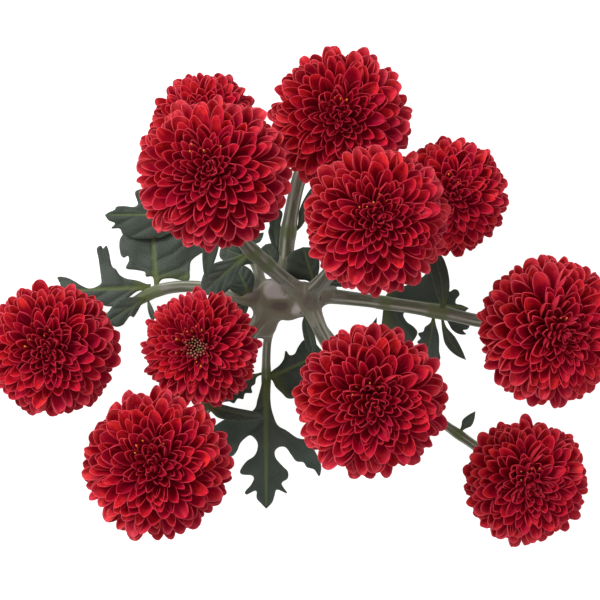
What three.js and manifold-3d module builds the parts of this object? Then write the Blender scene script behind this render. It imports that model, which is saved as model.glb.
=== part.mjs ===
// A cut spray of a pompon chrysanthemum, lying face up: one short main stem, eleven ball-shaped
// blooms on curved peduncles, and the leaves at its nodes. Millimetres, +Z up, the surface it
// lies on at Z = 0, and the origin under the middle of the spray.
import * as THREE from 'three';
import { mergeVertices } from 'three/addons/utils/BufferGeometryUtils.js';
import Module from 'manifold-3d';

const wasm = await Module();
wasm.setup();

const { sin, cos, tan, PI } = Math;
const DEGREE = PI / 180;
const UP = new THREE.Vector3(0, 0, 1);

// ---------------------------------------------------------------- driving dimensions

const MIDDLE = [0.31, 0.68]; // middle of the spray's plan, which is brought over the origin
const GAP = 0.3; // clearance between two pieces that meet
const MERGE = 1e-4; // points closer than this are one point
const LEAF_THICKNESS = 0.7;
const LEAF_SEAT = 0.25; // half a leaf's thickness, near enough, where it meets the stem sideways
const PETAL_THICKNESS = 0.8;

// Each bloom: the middle of its ball, its radius over the petal tips, and how far its face leans
// from straight up towards +X and towards +Y, in degrees.
const BLOOMS = {
  1: { at: [-27.5, 50.6, 40], radius: 16.8, lean: [-2, 2] },
  2: { at: [-23.7, 34.4, 84], radius: 22, lean: [-4, 4] },
  3: { at: [11.4, 52.2, 52], radius: 21.3, lean: [1, -3] },
  4: { at: [20.4, 22.3, 84], radius: 21.4, lean: [7, -1] },
  5: { at: [43.7, 30.4, 42], radius: 18.1, lean: [0, -1] },
  6: { at: [71.1, -8.5, 56], radius: 22.3, lean: [15, -7] },
  7: { at: [65.8, -52.9, 40], radius: 19.2, lean: [8, -5] },
  8: { at: [19.7, -28.0, 70], radius: 22.5, lean: [4, -4] },
  9: { at: [-41.3, -47.5, 52], radius: 22.4, lean: [-1, 2] },
  10: { at: [-72.4, -14.3, 45], radius: 20.5, lean: [-1, -2] },
  11: { at: [-29.4, -14.3, 32], radius: 18.2, lean: [-5, 2] },
};

// The ball's shape, as shares of the bloom's radius.
const CROWN = 0.8; // height of the crown over the middle
const SKIRT = 0.85; // how fast the lowest petals drop below the middle
const TUCK = 0.3; // how fast they draw in under it
const CORE = 0.68; // the core that the petals stand out of
const SEAT = 0.45; // depth of the flat underside below the middle
const SEAT_RADIUS = 0.38;
const CUP_RADIUS = 0.4; // green cup under the bloom
const CUP_DEPTH = 0.25;
const CUP_SIDES = 8;
const CUP_FOOT = 0.35; // radius of the cup's foot, as a share of its rim
const CUP_BELLY = [0.85, 0.45]; // where its wall turns: share of the rim, share of the height

// The petals stand in a lattice of rings, each ring half a step round from the last.
const PETALS_PER_RING = 11;
const FIRST_RING = 19; // degrees from the bloom's axis
const RING_STEP = 18;
const RINGS = 6;
const PETAL_SHOULDER = 0.87; // where a petal is widest, as a share of the bloom's radius
const PETAL_WIDTH = 0.93; // share of its step round the ring
const PETAL_CURL = 0.25; // how far its shoulders curl in, as a share of the ring step
const PETAL_UNEVEN = 0.05; // how much the petals differ in length

// The hub, where most peduncles part, and the lower node of the main stem.
const HUB = [1.8, 1.2, 22];
const LOWER_NODE = [-10.6, -0.3, 16];
const KNOBS = [
  { at: HUB, half: [3.8, 4.6, 3.4] },
  { at: [-6.6, 0.4, 17.3], half: [6.8, 5.9, 3.5] },
  { at: [-3.2, -3.2, 17.6], half: [4.4, 3.1, 3] },
  { at: [-9.3, -7.2, 11.8], half: [2.3, 4, 3.4] },
];
const KNOB_FACETS = [6, 4];
const STEM_SIDES = 6;
const STEM_STEP = 6; // length of one facet along a stem
const UNDER = { across: 300, deep: 20 }; // block below Z = 0, which flattens what lies on it

// The main stem comes down from the hub and lies on the surface to its cut end.
const MAIN_STEM = {
  radius: 1.5,
  through: [HUB, [-5.4, -2.5, 16], [-8.3, -7.3, 11.5], [-9.9, -12, 7.6], [-10.4, -17, 4.4],
    [-10.5, -24.6, 1.8], [-10.6, -34, 1.2], [-10.6, -43, 1.2]],
};

// Each peduncle from its node to just short of its bloom, which gives the last two points.
const PEDUNCLES = {
  1: {
    radius: 1.6,
    through: [LOWER_NODE, [-13.9, 11.7, 9], [-18.5, 20, 5], [-20, 33, 0.9], [-25, 44, 6]],
  },
  2: {
    radius: 2.3,
    through: [HUB, [-9, 10, 33.5], [-17.5, 18.5, 44.5], [-21.6, 27.5, 51.5]],
  },
  3: {
    radius: 2.3,
    through: [[-5, 1.6, 18.5], [-4.5, 11.5, 17], [-2.4, 27.3, 19], [0.7, 39.5, 19.5],
      [6.2, 49.8, 21.5]],
  },
  4: {
    radius: 2.2,
    through: [HUB, [8.5, 7.6, 36], [14, 16.5, 49.5]],
  },
  5: {
    radius: 1.6,
    through: [HUB, [10, 5, 15], [22, 13, 6], [33, 21.5, 0.9], [40, 27.5, 7]],
  },
  6: {
    radius: 2.2,
    through: [HUB, [8, 1.3, 20], [30.4, -1.5, 17], [42.5, -3.6, 18], [54.4, -6.3, 21],
      [62, -6.9, 28]],
  },
  7: {
    radius: 1.6,
    through: [HUB, [5.4, -6.4, 16.5], [10.3, -13, 12], [21.5, -22, 7], [36, -32, 1.1],
      [45.1, -38.8, 2.6], [54.2, -45.2, 5], [61, -50, 13]],
  },
  8: {
    radius: 2.3,
    through: [HUB, [7.4, -11.5, 29.5], [12.8, -20.5, 36.5]],
  },
  9: {
    radius: 2.0,
    through: [[-2, 1.5, 20], [-11.6, -6.7, 15], [-19.9, -19, 12], [-26.9, -30, 12], [-35, -41, 18]],
  },
  10: {
    radius: 2.0,
    through: [LOWER_NODE, [-18.8, 1.1, 14], [-31.6, 4.1, 10], [-43.2, 3.1, 6], [-52.7, -1.5, 1.4],
      [-63, -8, 6]],
  },
  11: {
    radius: 1.5,
    through: [LOWER_NODE, [-13.2, -5.8, 10.5], [-20.5, -10.8, 8.5]],
  },
};
const NECK = 0.42; // how far below its cup a peduncle is already in line with its bloom
const NECK_SUNK = 0.6; // how far up into its cup a peduncle runs, as a share of the cup's depth

// Half outlines of the leaves from base to tip: share of the length, share of the spread. Two
// halves belong to one leaf where they differ, the left one first.
const LANCE = [[0, 0.22], [0.15, 0.45], [0.4, 1], [0.6, 0.95], [0.8, 0.6], [1, 0]];
const TONGUE = [[0, 0.3], [0.15, 0.6], [0.35, 0.92], [0.7, 1], [0.9, 0.75], [1, 0]];
const TOOTHED_LANCE = [[0, 0.2], [0.2, 0.4], [0.42, 0.9], [0.5, 0.7], [0.66, 1], [0.72, 0.65],
  [0.86, 0.6], [0.9, 0.3], [1, 0]];
const BROAD = [[0, 0.1], [0.1, 0.16], [0.2, 0.55], [0.3, 0.62], [0.36, 1], [0.48, 0.75], [0.58, 0.98],
  [0.66, 0.7], [0.78, 0.75], [0.84, 0.4], [1, 0]];
const PARTED = [
  [[0, 0.07], [0.2, 0.09], [0.27, 0.13], [0.35, 0.21], [0.39, 0.36], [0.45, 0.56], [0.47, 0.75],
    [0.59, 0.92], [0.68, 0.99], [0.75, 0.95], [0.7, 0.86], [0.68, 0.73], [0.64, 0.67],
    [0.63, 0.54], [0.58, 0.45], [0.52, 0.34], [0.52, 0.23], [0.55, 0.16], [0.6, 0.17],
    [0.67, 0.3], [0.71, 0.39], [0.76, 0.39], [0.8, 0.28], [0.88, 0.38], [0.85, 0.19],
    [0.9, 0.15], [0.95, 0.11], [1, 0]],
  [[0, 0.07], [0.16, 0.16], [0.22, 0.2], [0.27, 0.39], [0.3, 0.7], [0.35, 0.89], [0.39, 1],
    [0.47, 0.96], [0.55, 0.81], [0.59, 0.69], [0.59, 0.6], [0.55, 0.52], [0.49, 0.46],
    [0.45, 0.37], [0.43, 0.28], [0.48, 0.16], [0.54, 0.16], [0.59, 0.22], [0.63, 0.35],
    [0.71, 0.47], [0.73, 0.45], [0.74, 0.25], [0.76, 0.22], [0.81, 0.27], [0.87, 0.38],
    [0.89, 0.36], [0.86, 0.18], [0.92, 0.17], [0.96, 0.09], [1, 0]],
];
const FANNED = [
  [[0, 0.1], [0.1, 0.2], [0.21, 0.25], [0.33, 0.38], [0.42, 0.6], [0.45, 0.4], [0.53, 0.37],
    [0.64, 0.53], [0.78, 0.65], [0.84, 0.5], [0.93, 0.6], [0.95, 0.3], [1, 0]],
  [[0, 0.12], [0.01, 0.4], [0.05, 0.65], [0.09, 0.88], [0.19, 0.96], [0.31, 1], [0.42, 0.78],
    [0.55, 0.89], [0.61, 0.58], [0.76, 0.58], [0.82, 0.27], [1, 0]],
];
const JAGGED = [
  [[0, 0.1], [0.09, 0.28], [0.23, 0.51], [0.36, 0.89], [0.46, 0.64], [0.57, 0.81], [0.68, 0.85],
    [0.78, 0.81], [0.86, 0.68], [0.88, 0.49], [0.95, 0.47], [0.92, 0.3], [0.97, 0.19], [1, 0]],
  [[0, 0.1], [0.09, 0.28], [0.24, 0.53], [0.35, 0.92], [0.43, 0.61], [0.52, 0.58], [0.63, 1],
    [0.69, 0.93], [0.76, 0.8], [0.74, 0.36], [0.77, 0.28], [0.85, 0.31], [0.91, 0.28],
    [0.92, 0.19], [0.97, 0.09], [1, 0]],
];
const ROUNDED = [
  [[0, 0.04], [0.09, 0.05], [0.1, 0.17], [0.16, 0.18], [0.2, 0.35], [0.23, 0.52], [0.34, 0.46],
    [0.41, 0.47], [0.39, 0.55], [0.43, 0.6], [0.66, 0.6], [0.77, 0.47], [0.75, 0.3],
    [0.9, 0.26], [0.88, 0.12], [1, 0]],
  [[0, 0.04], [0.05, 0.1], [0.06, 0.28], [0.03, 0.6], [0.14, 0.63], [0.28, 0.66], [0.38, 0.83],
    [0.43, 1], [0.55, 0.92], [0.59, 0.72], [0.73, 0.7], [0.74, 0.48], [0.89, 0.41],
    [0.87, 0.21], [1, 0]],
];
const HORNED = [
  [[0, 0.06], [0.1, 0.09], [0.2, 0.22], [0.31, 0.38], [0.45, 0.41], [0.58, 0.33], [0.68, 0.34], [0.75, 0.2],
    [0.9, 0.18], [1, 0]],
  [[0, 0.12], [0.14, 0.18], [0.23, 0.22], [0.3, 0.31], [0.34, 0.44], [0.38, 0.5], [0.4, 0.66],
    [0.41, 0.84], [0.44, 1], [0.48, 0.93], [0.5, 1], [0.55, 0.95], [0.54, 0.7], [0.53, 0.49],
    [0.52, 0.28], [0.52, 0.14], [0.58, 0.06], [0.66, 0.03], [0.74, 0.09], [0.83, 0.21],
    [0.93, 0.31], [1.03, 0.32], [1, 0.15], [1, 0]],
];
const CLEFT = [
  [[0, 0.12], [0.12, 0.28], [0.28, 0.6], [0.41, 0.78], [0.45, 0.57], [0.6, 0.75], [0.7, 0.87],
    [0.84, 0.74], [0.93, 0.35], [1, 0]],
  [[0, 0.12], [0.08, 0.42], [0.24, 0.77], [0.41, 0.97], [0.58, 1], [0.74, 0.79], [0.89, 0.51],
    [1, 0]],
];
const LYRE = [
  [[0, 0.03], [0.05, 0.16], [0.16, 0.25], [0.29, 0.35], [0.39, 0.46], [0.46, 0.58], [0.49, 0.74],
    [0.55, 0.73], [0.59, 0.49], [0.71, 0.31], [0.77, 0.3], [0.82, 0.36], [0.86, 0.34],
    [0.88, 0.25], [0.85, 0.16], [0.85, 0.07], [0.92, 0.05], [1, 0]],
  [[0, 0.03], [0.01, 0.29], [0.01, 0.62], [0.08, 0.94], [0.28, 1], [0.41, 0.82], [0.46, 0.62],
    [0.41, 0.51], [0.31, 0.41], [0.26, 0.27], [0.35, 0.17], [0.55, 0.17], [0.76, 0.28],
    [0.85, 0.49], [0.93, 0.56], [1, 0.54], [0.96, 0.47], [1.01, 0.44], [1.03, 0.35],
    [0.91, 0.29], [0.93, 0.16], [1, 0]],
];
const SLANTED = [[[0, 0.1], [0.35, 0.6], [0.75, 0.8], [0.97, 0.95], [1, 0]], BROAD];
const LOPSIDED = [
  [[0, 0.25], [0.1, 0.6], [0.35, 1], [0.6, 0.9], [0.85, 0.55], [1, 0]],
  [[0, 0.2], [0.1, 0.35], [0.3, 0.7], [0.6, 0.8], [0.9, 0.5], [1, 0]],
];
const DIPPED = [
  [[0, 0.3], [0.15, 0.5], [0.4, 0.55], [0.7, 0.6], [0.87, 0.5], [1, 0]],
  [[0, 0.5], [0.15, 1], [0.35, 0.95], [0.6, 0.8], [0.85, 0.4], [1, 0]],
];
const EARED = [
  [[0, 0.1], [0.15, 0.2], [0.3, 0.75], [0.45, 1], [0.8, 0.85], [0.95, 0.6], [1, 0]],
  [[0, 0.1], [0.2, 0.25], [0.4, 0.42], [0.7, 0.52], [0.9, 0.4], [1, 0]],
];
const OUTLINES = {
  lance: [LANCE, LANCE],
  tongue: [TONGUE, TONGUE],
  toothedLance: [TOOTHED_LANCE, TOOTHED_LANCE],
  broad: [BROAD, BROAD],
  parted: PARTED,
  fanned: FANNED,
  jagged: JAGGED,
  rounded: ROUNDED,
  horned: HORNED,
  cleft: CLEFT,
  lyre: LYRE,
  slanted: SLANTED,
  lopsided: LOPSIDED,
  dipped: DIPPED,
  eared: EARED,
};
const RIB = [0.2, 0.4, 0.6, 0.8]; // where the midrib has its points

// Each leaf: the stem that it grows on ('main' or a bloom's number), how far along it and on which
// side, its tip, half its spread, how much its midrib arches up and bows to its left, and how
// much its edges rise.
const LEAVES = {
  1: {
    on: 'main', along: 0.664, side: [0, 0, 1], tip: [-10.5, -64.8, 1.4],
    outline: 'parted', spread: 17.3, arch: 1.2, edge: -0.08,
  },
  2: {
    on: 'main', along: 0.653, side: [1, 0.3, 0.5], tip: [7.4, -16.1, 5],
    outline: 'fanned', spread: 9.3, arch: 1,
  },
  3: {
    on: 'main', along: 0.636, side: [-1, 0.2, 0.2], tip: [-24.6, -32, 2.2],
    outline: 'broad', spread: 4.3, arch: 1.2, bow: -1,
  },
  4: {
    on: 9, along: 0.545, side: [0.3, -0.3, 1], tip: [-11, -36.2, 11],
    outline: 'dipped', spread: 2.8, arch: 1.2, edge: 0.2, bow: -0.4,
  },
  5: {
    on: 1, along: 0.409, side: [-1, 0.2, 0.2], tip: [-60.2, 26.2, 7],
    outline: 'jagged', spread: 8.8, arch: 1.5,
  },
  6: {
    on: 10, along: 0.396, side: [0, 1, 0], tip: [-45.9, 26.6, 3],
    outline: 'rounded', spread: 17.1, arch: 0.5,
  },
  7: {
    on: 10, along: 0.427, side: [0, 1, 0.6], tip: [-74, 2.8, 4.8],
    outline: 'horned', spread: 13.4, arch: 0.3,
  },
  8: {
    on: 10, along: 0.447, side: [0.1, -0.3, 1], tip: [-59.8, -7.1, 8],
    outline: 'cleft', spread: 3.8, arch: 0.6,
  },
  9: {
    on: 10, along: 0.445, side: [0, -1, 0.1], tip: [-45.2, -6.2, 4.5],
    outline: 'tongue', spread: 0.9, arch: 0.4, edge: 0.2,
  },
  10: {
    on: 2, along: 0.72, side: [-0.3, -0.8, -0.3], tip: [-27.5, 5.5, 50],
    outline: 'lance', spread: 2.3, arch: 1.5, edge: 0.3,
  },
  11: {
    on: 2, along: 0.4, side: [-0.6, -0.6, -0.5], tip: [-29.5, 2, 20],
    outline: 'lance', spread: 4.4, arch: 2, edge: 0.2,
  },
  12: {
    on: 2, along: 0.3, side: [-0.8, 0.2, -0.3], tip: [-22, 15, 30],
    outline: 'toothedLance', spread: 3.5, arch: 1, edge: 0.2,
  },
  13: {
    on: 5, along: 0.05, side: [-0.3, 0.9, 0.5], tip: [0.9, 16, 22],
    outline: 'eared', spread: 7.1, arch: 0.8,
  },
  14: {
    on: 3, along: 0.13, side: [-1, 0, -0.3], tip: [-7.9, 34, 11],
    outline: 'toothedLance', spread: 2.4, arch: 1, edge: 0.2,
  },
  15: {
    on: 6, along: 0.3, side: [0, 0.5, -1], tip: [52, -2.5, 7],
    outline: 'lyre', spread: 14.9, arch: -1.5,
  },
  16: {
    on: 6, along: 0.52, side: [0, 0.8, 0.6], tip: [40.1, 15, 24],
    outline: 'tongue', spread: 2.5, arch: 1.5, edge: 0.3, bow: -0.6,
  },
  17: {
    on: 6, along: 0.49, side: [0, -1, -0.4], tip: [39, -17.8, 12],
    outline: 'slanted', spread: 4, arch: 1, edge: 0.1,
  },
  18: {
    on: 6, along: 0.525, side: [0.2, -1, 0], tip: [50.8, -18.3, 13],
    outline: 'lance', spread: 1.8, arch: 0.8, edge: 0.1, bow: -1,
  },
  19: {
    on: 7, along: 0.29, side: [0.6, 0.7, 0], tip: [23.6, -5.2, 10],
    outline: 'lance', spread: 1.4, arch: 0.5, edge: 0.2,
  },
  20: {
    on: 7, along: 0.669, side: [0.5, 0.8, 0], tip: [54, -34.2, 8],
    outline: 'lance', spread: 1.6, arch: 0.6, edge: 0.3,
  },
  21: {
    on: 10, along: 0.055, side: [0, 0.8, 1], tip: [-19.4, 10.3, 17],
    outline: 'lopsided', spread: 4.7, arch: 0.8,
  },
  22: {
    on: 10, along: 0.06, side: [0, -0.9, -0.9], tip: [-22, -2.8, 7],
    outline: 'tongue', spread: 2.6, arch: 0.4, edge: 0.1,
  },
  23: {
    on: 1, along: 0.19, side: [-1, 0.2, 0], tip: [-24.6, 15.6, 9],
    outline: 'tongue', spread: 2.8, arch: 0.6, edge: 0.1,
  },
  24: {
    on: 3, along: 0.12, side: [-1, 0.1, 0.3], tip: [-10.4, 17, 16],
    outline: 'tongue', spread: 2.4, arch: 0.8, edge: 0.1,
  },
  25: {
    on: 8, along: 0.1, side: [-1, -0.2, -0.4], tip: [4, -16, 22],
    outline: 'tongue', spread: 1.7, arch: -0.6, edge: 0.2,
  },
  26: {
    on: 3, along: 0.275, side: [1, 0, -0.3], tip: [4.2, 35.1, 18],
    outline: 'lance', spread: 1.6, arch: 0.6, edge: 0.2,
  },
  27: {
    on: 5, along: 0.105, side: [0, 1, 0.6], tip: [14.9, 4.8, 20],
    outline: 'tongue', spread: 1.2, arch: 0.5, edge: 0.1,
  },
  28: {
    on: 1, along: 0.26, side: [1, 0.1, 0.2], tip: [-11.1, 20.8, 8],
    outline: 'lance', spread: 1.3, arch: 0.4, edge: 0.2,
  },
};

const CRIMSON = new THREE.MeshStandardMaterial({ color: 0xa30d1f, roughness: 0.6, metalness: 0 });
const STEM_GREEN = new THREE.MeshStandardMaterial({ color: 0x72795a, roughness: 0.7, metalness: 0 });
const LEAF_GREEN = new THREE.MeshStandardMaterial({ color: 0x2f3d30, roughness: 0.65, metalness: 0 });

// ---------------------------------------------------------------- joining solids

function solidOf(geometry) {
  const bare = geometry.clone();
  bare.deleteAttribute('normal');
  bare.deleteAttribute('uv');
  const merged = mergeVertices(bare, MERGE);
  return new wasm.Manifold(new wasm.Mesh({
    numProp: 3,
    vertProperties: new Float32Array(merged.attributes.position.array),
    triVerts: new Uint32Array(merged.index.array),
  }));
}

function geometryOf(solid) {
  const mesh = solid.getMesh();
  const geometry = new THREE.BufferGeometry();
  geometry.setAttribute('position', new THREE.BufferAttribute(mesh.vertProperties, 3));
  geometry.setIndex(new THREE.BufferAttribute(mesh.triVerts, 1));
  return geometry;
}

function joined(geometries) {
  return geometries.map(solidOf).reduce((all, next) => all.add(next));
}

// A blade: a sheet of triangles over points, thickened along one direction. Both faces are
// split alike, and the rim (a loop of point numbers) closes them.
function bladeGeometry(points, faces, rim, normal, thickness) {
  const half = normal.clone().multiplyScalar(thickness / 2);
  const upper = points.map((p) => p.clone().add(half));
  const lower = points.map((p) => p.clone().sub(half));
  const count = points.length;
  const index = [];
  for (const [a, b, c] of faces) {
    index.push(a, b, c, count + a, count + c, count + b);
  }
  rim.forEach((a, i) => {
    const b = rim[(i + 1) % rim.length];
    index.push(a, count + a, count + b, a, count + b, b);
  });
  const geometry = new THREE.BufferGeometry().setFromPoints([...upper, ...lower]);
  geometry.setIndex(index);
  return geometry;
}

// ---------------------------------------------------------------- blooms

// The same draws each time, from 0 to 1.
function seededRandom(seed) {
  const spread = 7919;
  const multiplier = 16807;
  const modulus = 2 ** 31 - 1;
  let state = seed * spread;
  return () => {
    state = (state * multiplier) % modulus;
    return state / modulus;
  };
}

function bloomAxis({ lean }) {
  return new THREE.Vector3(tan(lean[0] * DEGREE), tan(lean[1] * DEGREE), 1).normalize();
}

// A point on the ball, or on a smaller one inside it, at an angle from the bloom's axis.
function onBall(polar, turn, radius) {
  const below = Math.max(0, polar - PI / 2);
  const out = radius * sin(polar) * (1 - TUCK * below);
  const height = radius * cos(polar) * (polar < PI / 2 ? CROWN : SKIRT);
  return new THREE.Vector3(out * cos(turn), out * sin(turn), height);
}

function ringAngle(ring) {
  return (FIRST_RING + RING_STEP * ring) * DEGREE;
}

// The core is a lattice of diamonds, and each diamond carries one petal: a scoop from the
// diamond's upper corner and sides out to two shoulders and a tip, with a back that runs down
// to the diamond's lower corner.
function bloomGeometry(radius, phase, random) {
  const step = (2 * PI) / PETALS_PER_RING;
  const points = [onBall(0, 0, CORE * radius)];
  const index = [];
  const add = (point) => points.push(point) - 1;
  const levels = [];
  for (let level = 0; level < RINGS; level += 1) {
    levels.push(Array.from({ length: PETALS_PER_RING }, (_, i) => {
      const turn = phase + (i + 0.5 * (level % 2)) * step;
      return add(onBall(ringAngle(level), turn, CORE * radius));
    }));
  }
  levels.push(Array.from({ length: PETALS_PER_RING }, (_, i) => {
    const turn = phase + (i + 0.5 * (RINGS % 2)) * step;
    return add(new THREE.Vector3(cos(turn), sin(turn), 0).multiplyScalar(SEAT_RADIUS * radius)
      .setZ(-SEAT * radius));
  }));
  const corner = (level, i) => (level < 0 ? 0 : levels[level][i % PETALS_PER_RING]);
  for (let ring = 0; ring < RINGS; ring += 1) {
    const odd = ring % 2;
    for (let i = 0; i < PETALS_PER_RING; i += 1) {
      const top = corner(ring - 1, i + odd);
      const bottom = corner(ring + 1, i + odd);
      const left = corner(ring, i + 1);
      const right = corner(ring, i);
      const turn = phase + (i + 0.5 + 0.5 * odd) * step;
      const side = 0.5 * PETAL_WIDTH * step;
      const polar = ringAngle(ring);
      const curl = PETAL_CURL * RING_STEP * DEGREE;
      const back = PETAL_THICKNESS / radius;
      const reach = radius * (1 - PETAL_UNEVEN * random());
      const edge = (shift) => [
        add(onBall(polar - curl + shift, turn + side, PETAL_SHOULDER * radius)),
        add(onBall(polar - 0.5 * curl + shift, turn, reach)),
        add(onBall(polar - curl + shift, turn - side, PETAL_SHOULDER * radius)),
      ];
      const [leftShoulder, tip, rightShoulder] = edge(0);
      const [leftBack, tipBack, rightBack] = edge(back);
      index.push(top, tip, leftShoulder, top, leftShoulder, left);
      index.push(top, rightShoulder, tip, top, right, rightShoulder);
      index.push(bottom, left, leftBack, bottom, leftBack, tipBack);
      index.push(bottom, tipBack, rightBack, bottom, rightBack, right);
      index.push(left, leftShoulder, leftBack, right, rightBack, rightShoulder);
      index.push(leftShoulder, tip, tipBack, leftShoulder, tipBack, leftBack);
      index.push(tip, rightShoulder, rightBack, tip, rightBack, tipBack);
    }
  }
  const underside = add(new THREE.Vector3(0, 0, -SEAT * radius));
  const lastOdd = (RINGS - 1) % 2;
  for (let i = 0; i < PETALS_PER_RING; i += 1) {
    const from = corner(RINGS, i + lastOdd);
    const to = corner(RINGS, i + 1 + lastOdd);
    index.push(corner(RINGS - 1, i + 1), from, to, underside, to, from);
  }
  const geometry = new THREE.BufferGeometry().setFromPoints(points);
  geometry.setIndex(index);
  return geometry;
}

function bloomMesh(name, bloom, seed) {
  const mesh = new THREE.Mesh(bloomGeometry(bloom.radius, seed, seededRandom(seed)), CRIMSON);
  mesh.name = name;
  mesh.position.set(...bloom.at);
  mesh.quaternion.setFromUnitVectors(UP, bloomAxis(bloom));
  return mesh;
}

// ---------------------------------------------------------------- stem

function curveThrough(points) {
  return new THREE.CatmullRomCurve3(points.map((p) => new THREE.Vector3(...p)), false, 'centripetal');
}

function peduncleCurve(number) {
  const bloom = BLOOMS[number];
  const below = (share) => new THREE.Vector3(...bloom.at)
    .addScaledVector(bloomAxis(bloom), -share * bloom.radius).toArray();
  const neck = below(SEAT + CUP_DEPTH + NECK);
  const end = below(SEAT + NECK_SUNK * CUP_DEPTH);
  return curveThrough([...PEDUNCLES[number].through, neck, end]);
}

const CURVES = { main: curveThrough(MAIN_STEM.through) };
const RADII = { main: MAIN_STEM.radius };
for (const number of Object.keys(PEDUNCLES)) {
  CURVES[number] = peduncleCurve(number);
  RADII[number] = PEDUNCLES[number].radius;
}

function tubeGeometry(curve, radius) {
  const corners = Array.from({ length: STEM_SIDES }, (_, i) => {
    const turn = (2 * PI * i) / STEM_SIDES;
    return new THREE.Vector2(radius * cos(turn), radius * sin(turn));
  });
  return new THREE.ExtrudeGeometry(new THREE.Shape(corners), {
    steps: Math.ceil(curve.getLength() / STEM_STEP),
    extrudePath: curve,
    bevelEnabled: false,
  });
}

function cupGeometry(bloom) {
  const rim = CUP_RADIUS * bloom.radius;
  const top = -SEAT * bloom.radius - GAP;
  const bottom = top - CUP_DEPTH * bloom.radius;
  const [bellyOut, bellyUp] = CUP_BELLY;
  const profile = [
    [0, bottom],
    [CUP_FOOT * rim, bottom],
    [bellyOut * rim, bottom + bellyUp * (top - bottom)],
    [rim, top],
    [0, top],
  ].map(([out, height]) => new THREE.Vector2(out, height));
  const lean = new THREE.Quaternion().setFromUnitVectors(UP, bloomAxis(bloom));
  return new THREE.LatheGeometry(profile, CUP_SIDES)
    .rotateX(PI / 2)
    .applyQuaternion(lean)
    .translate(...bloom.at);
}

function stemMesh() {
  const tubes = Object.keys(CURVES).map((key) => tubeGeometry(CURVES[key], RADII[key]));
  const cups = Object.values(BLOOMS).map(cupGeometry);
  const knobs = KNOBS.map(({ at, half }) => new THREE.SphereGeometry(1, ...KNOB_FACETS)
    .scale(...half)
    .translate(...at));
  const under = new THREE.BoxGeometry(UNDER.across, UNDER.across, UNDER.deep)
    .translate(0, 0, -UNDER.deep / 2);
  const solid = joined([...tubes, ...cups, ...knobs]).subtract(solidOf(under));
  const mesh = new THREE.Mesh(geometryOf(solid), STEM_GREEN);
  mesh.name = 'stem';
  return mesh;
}

// ---------------------------------------------------------------- leaves

// Points of the flat outline as [share of length, side in shares of the spread], its triangles
// and its rim: two halves that share the midrib.
function leafPattern([left, right]) {
  const flat = [[0, 0], ...RIB.map((share) => [share, 0]), [1, 0]];
  const ribCount = flat.length;
  const edges = [left, right].map((half, i) => {
    const sign = i === 0 ? 1 : -1;
    const first = flat.length;
    const inner = half.slice(0, -1);
    inner.forEach(([share, side]) => flat.push([share, sign * side]));
    return inner.map((_, j) => first + j);
  });
  const rib = Array.from({ length: ribCount }, (_, i) => i);
  const tip = ribCount - 1;
  const faces = [];
  for (const edge of edges) {
    const loop = [...edge, tip, ...rib.slice(0, -1).reverse()];
    const contour = loop.map((i) => new THREE.Vector2(flat[i][0], flat[i][1]));
    for (const [a, b, c] of THREE.ShapeUtils.triangulateShape(contour, [])) {
      const face = [loop[a], loop[b], loop[c]];
      faces.push(turnsLeft(face.map((i) => flat[i])) ? face : face.reverse());
    }
  }
  const rim = [0, ...edges[1], tip, ...edges[0].slice().reverse()];
  return { flat, faces, rim };
}

function turnsLeft([a, b, c]) {
  return (b[0] - a[0]) * (c[1] - a[1]) > (b[1] - a[1]) * (c[0] - a[0]);
}

function leafMesh(name, leaf) {
  const { edge = 0, bow = 0 } = leaf;
  const curve = CURVES[leaf.on];
  const radius = RADII[leaf.on];
  const tip = new THREE.Vector3(...leaf.tip);
  const tangent = curve.getTangentAt(leaf.along);
  const side = new THREE.Vector3(...leaf.side);
  side.addScaledVector(tangent, -side.dot(tangent)).normalize();
  const base = curve.getPointAt(leaf.along).addScaledVector(side, radius + GAP + LEAF_SEAT);
  const along = tip.clone().sub(base);
  const across = UP.clone().cross(along).normalize();
  const normal = along.clone().cross(across).normalize();
  const { flat, faces, rim } = leafPattern(OUTLINES[leaf.outline]);
  const points = flat.map(([share, spread]) => {
    const out = spread * leaf.spread;
    const bent = 4 * share * (1 - share);
    return base.clone()
      .addScaledVector(along, share)
      .addScaledVector(across, out + bow * bent)
      .addScaledVector(normal, leaf.arch * bent + edge * Math.abs(out));
  });
  const blade = bladeGeometry(points, faces, rim, normal, LEAF_THICKNESS);
  const mesh = new THREE.Mesh(blade, LEAF_GREEN);
  mesh.name = name;
  return mesh;
}

// ---------------------------------------------------------------- the spray

const spray = new THREE.Group();
spray.position.set(-MIDDLE[0], -MIDDLE[1], 0);
spray.add(stemMesh());
for (const [number, bloom] of Object.entries(BLOOMS)) {
  spray.add(bloomMesh(`bloom_${number}`, bloom, Number(number)));
}
for (const [number, leaf] of Object.entries(LEAVES)) {
  spray.add(leafMesh(`leaf_${number}`, leaf));
}

export default spray;
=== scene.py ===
from collections import namedtuple
from math import ceil, cos, pi, radians, sin, sqrt, tan

import bpy
import numpy as np
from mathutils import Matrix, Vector
from mathutils.geometry import delaunay_2d_cdt


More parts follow.
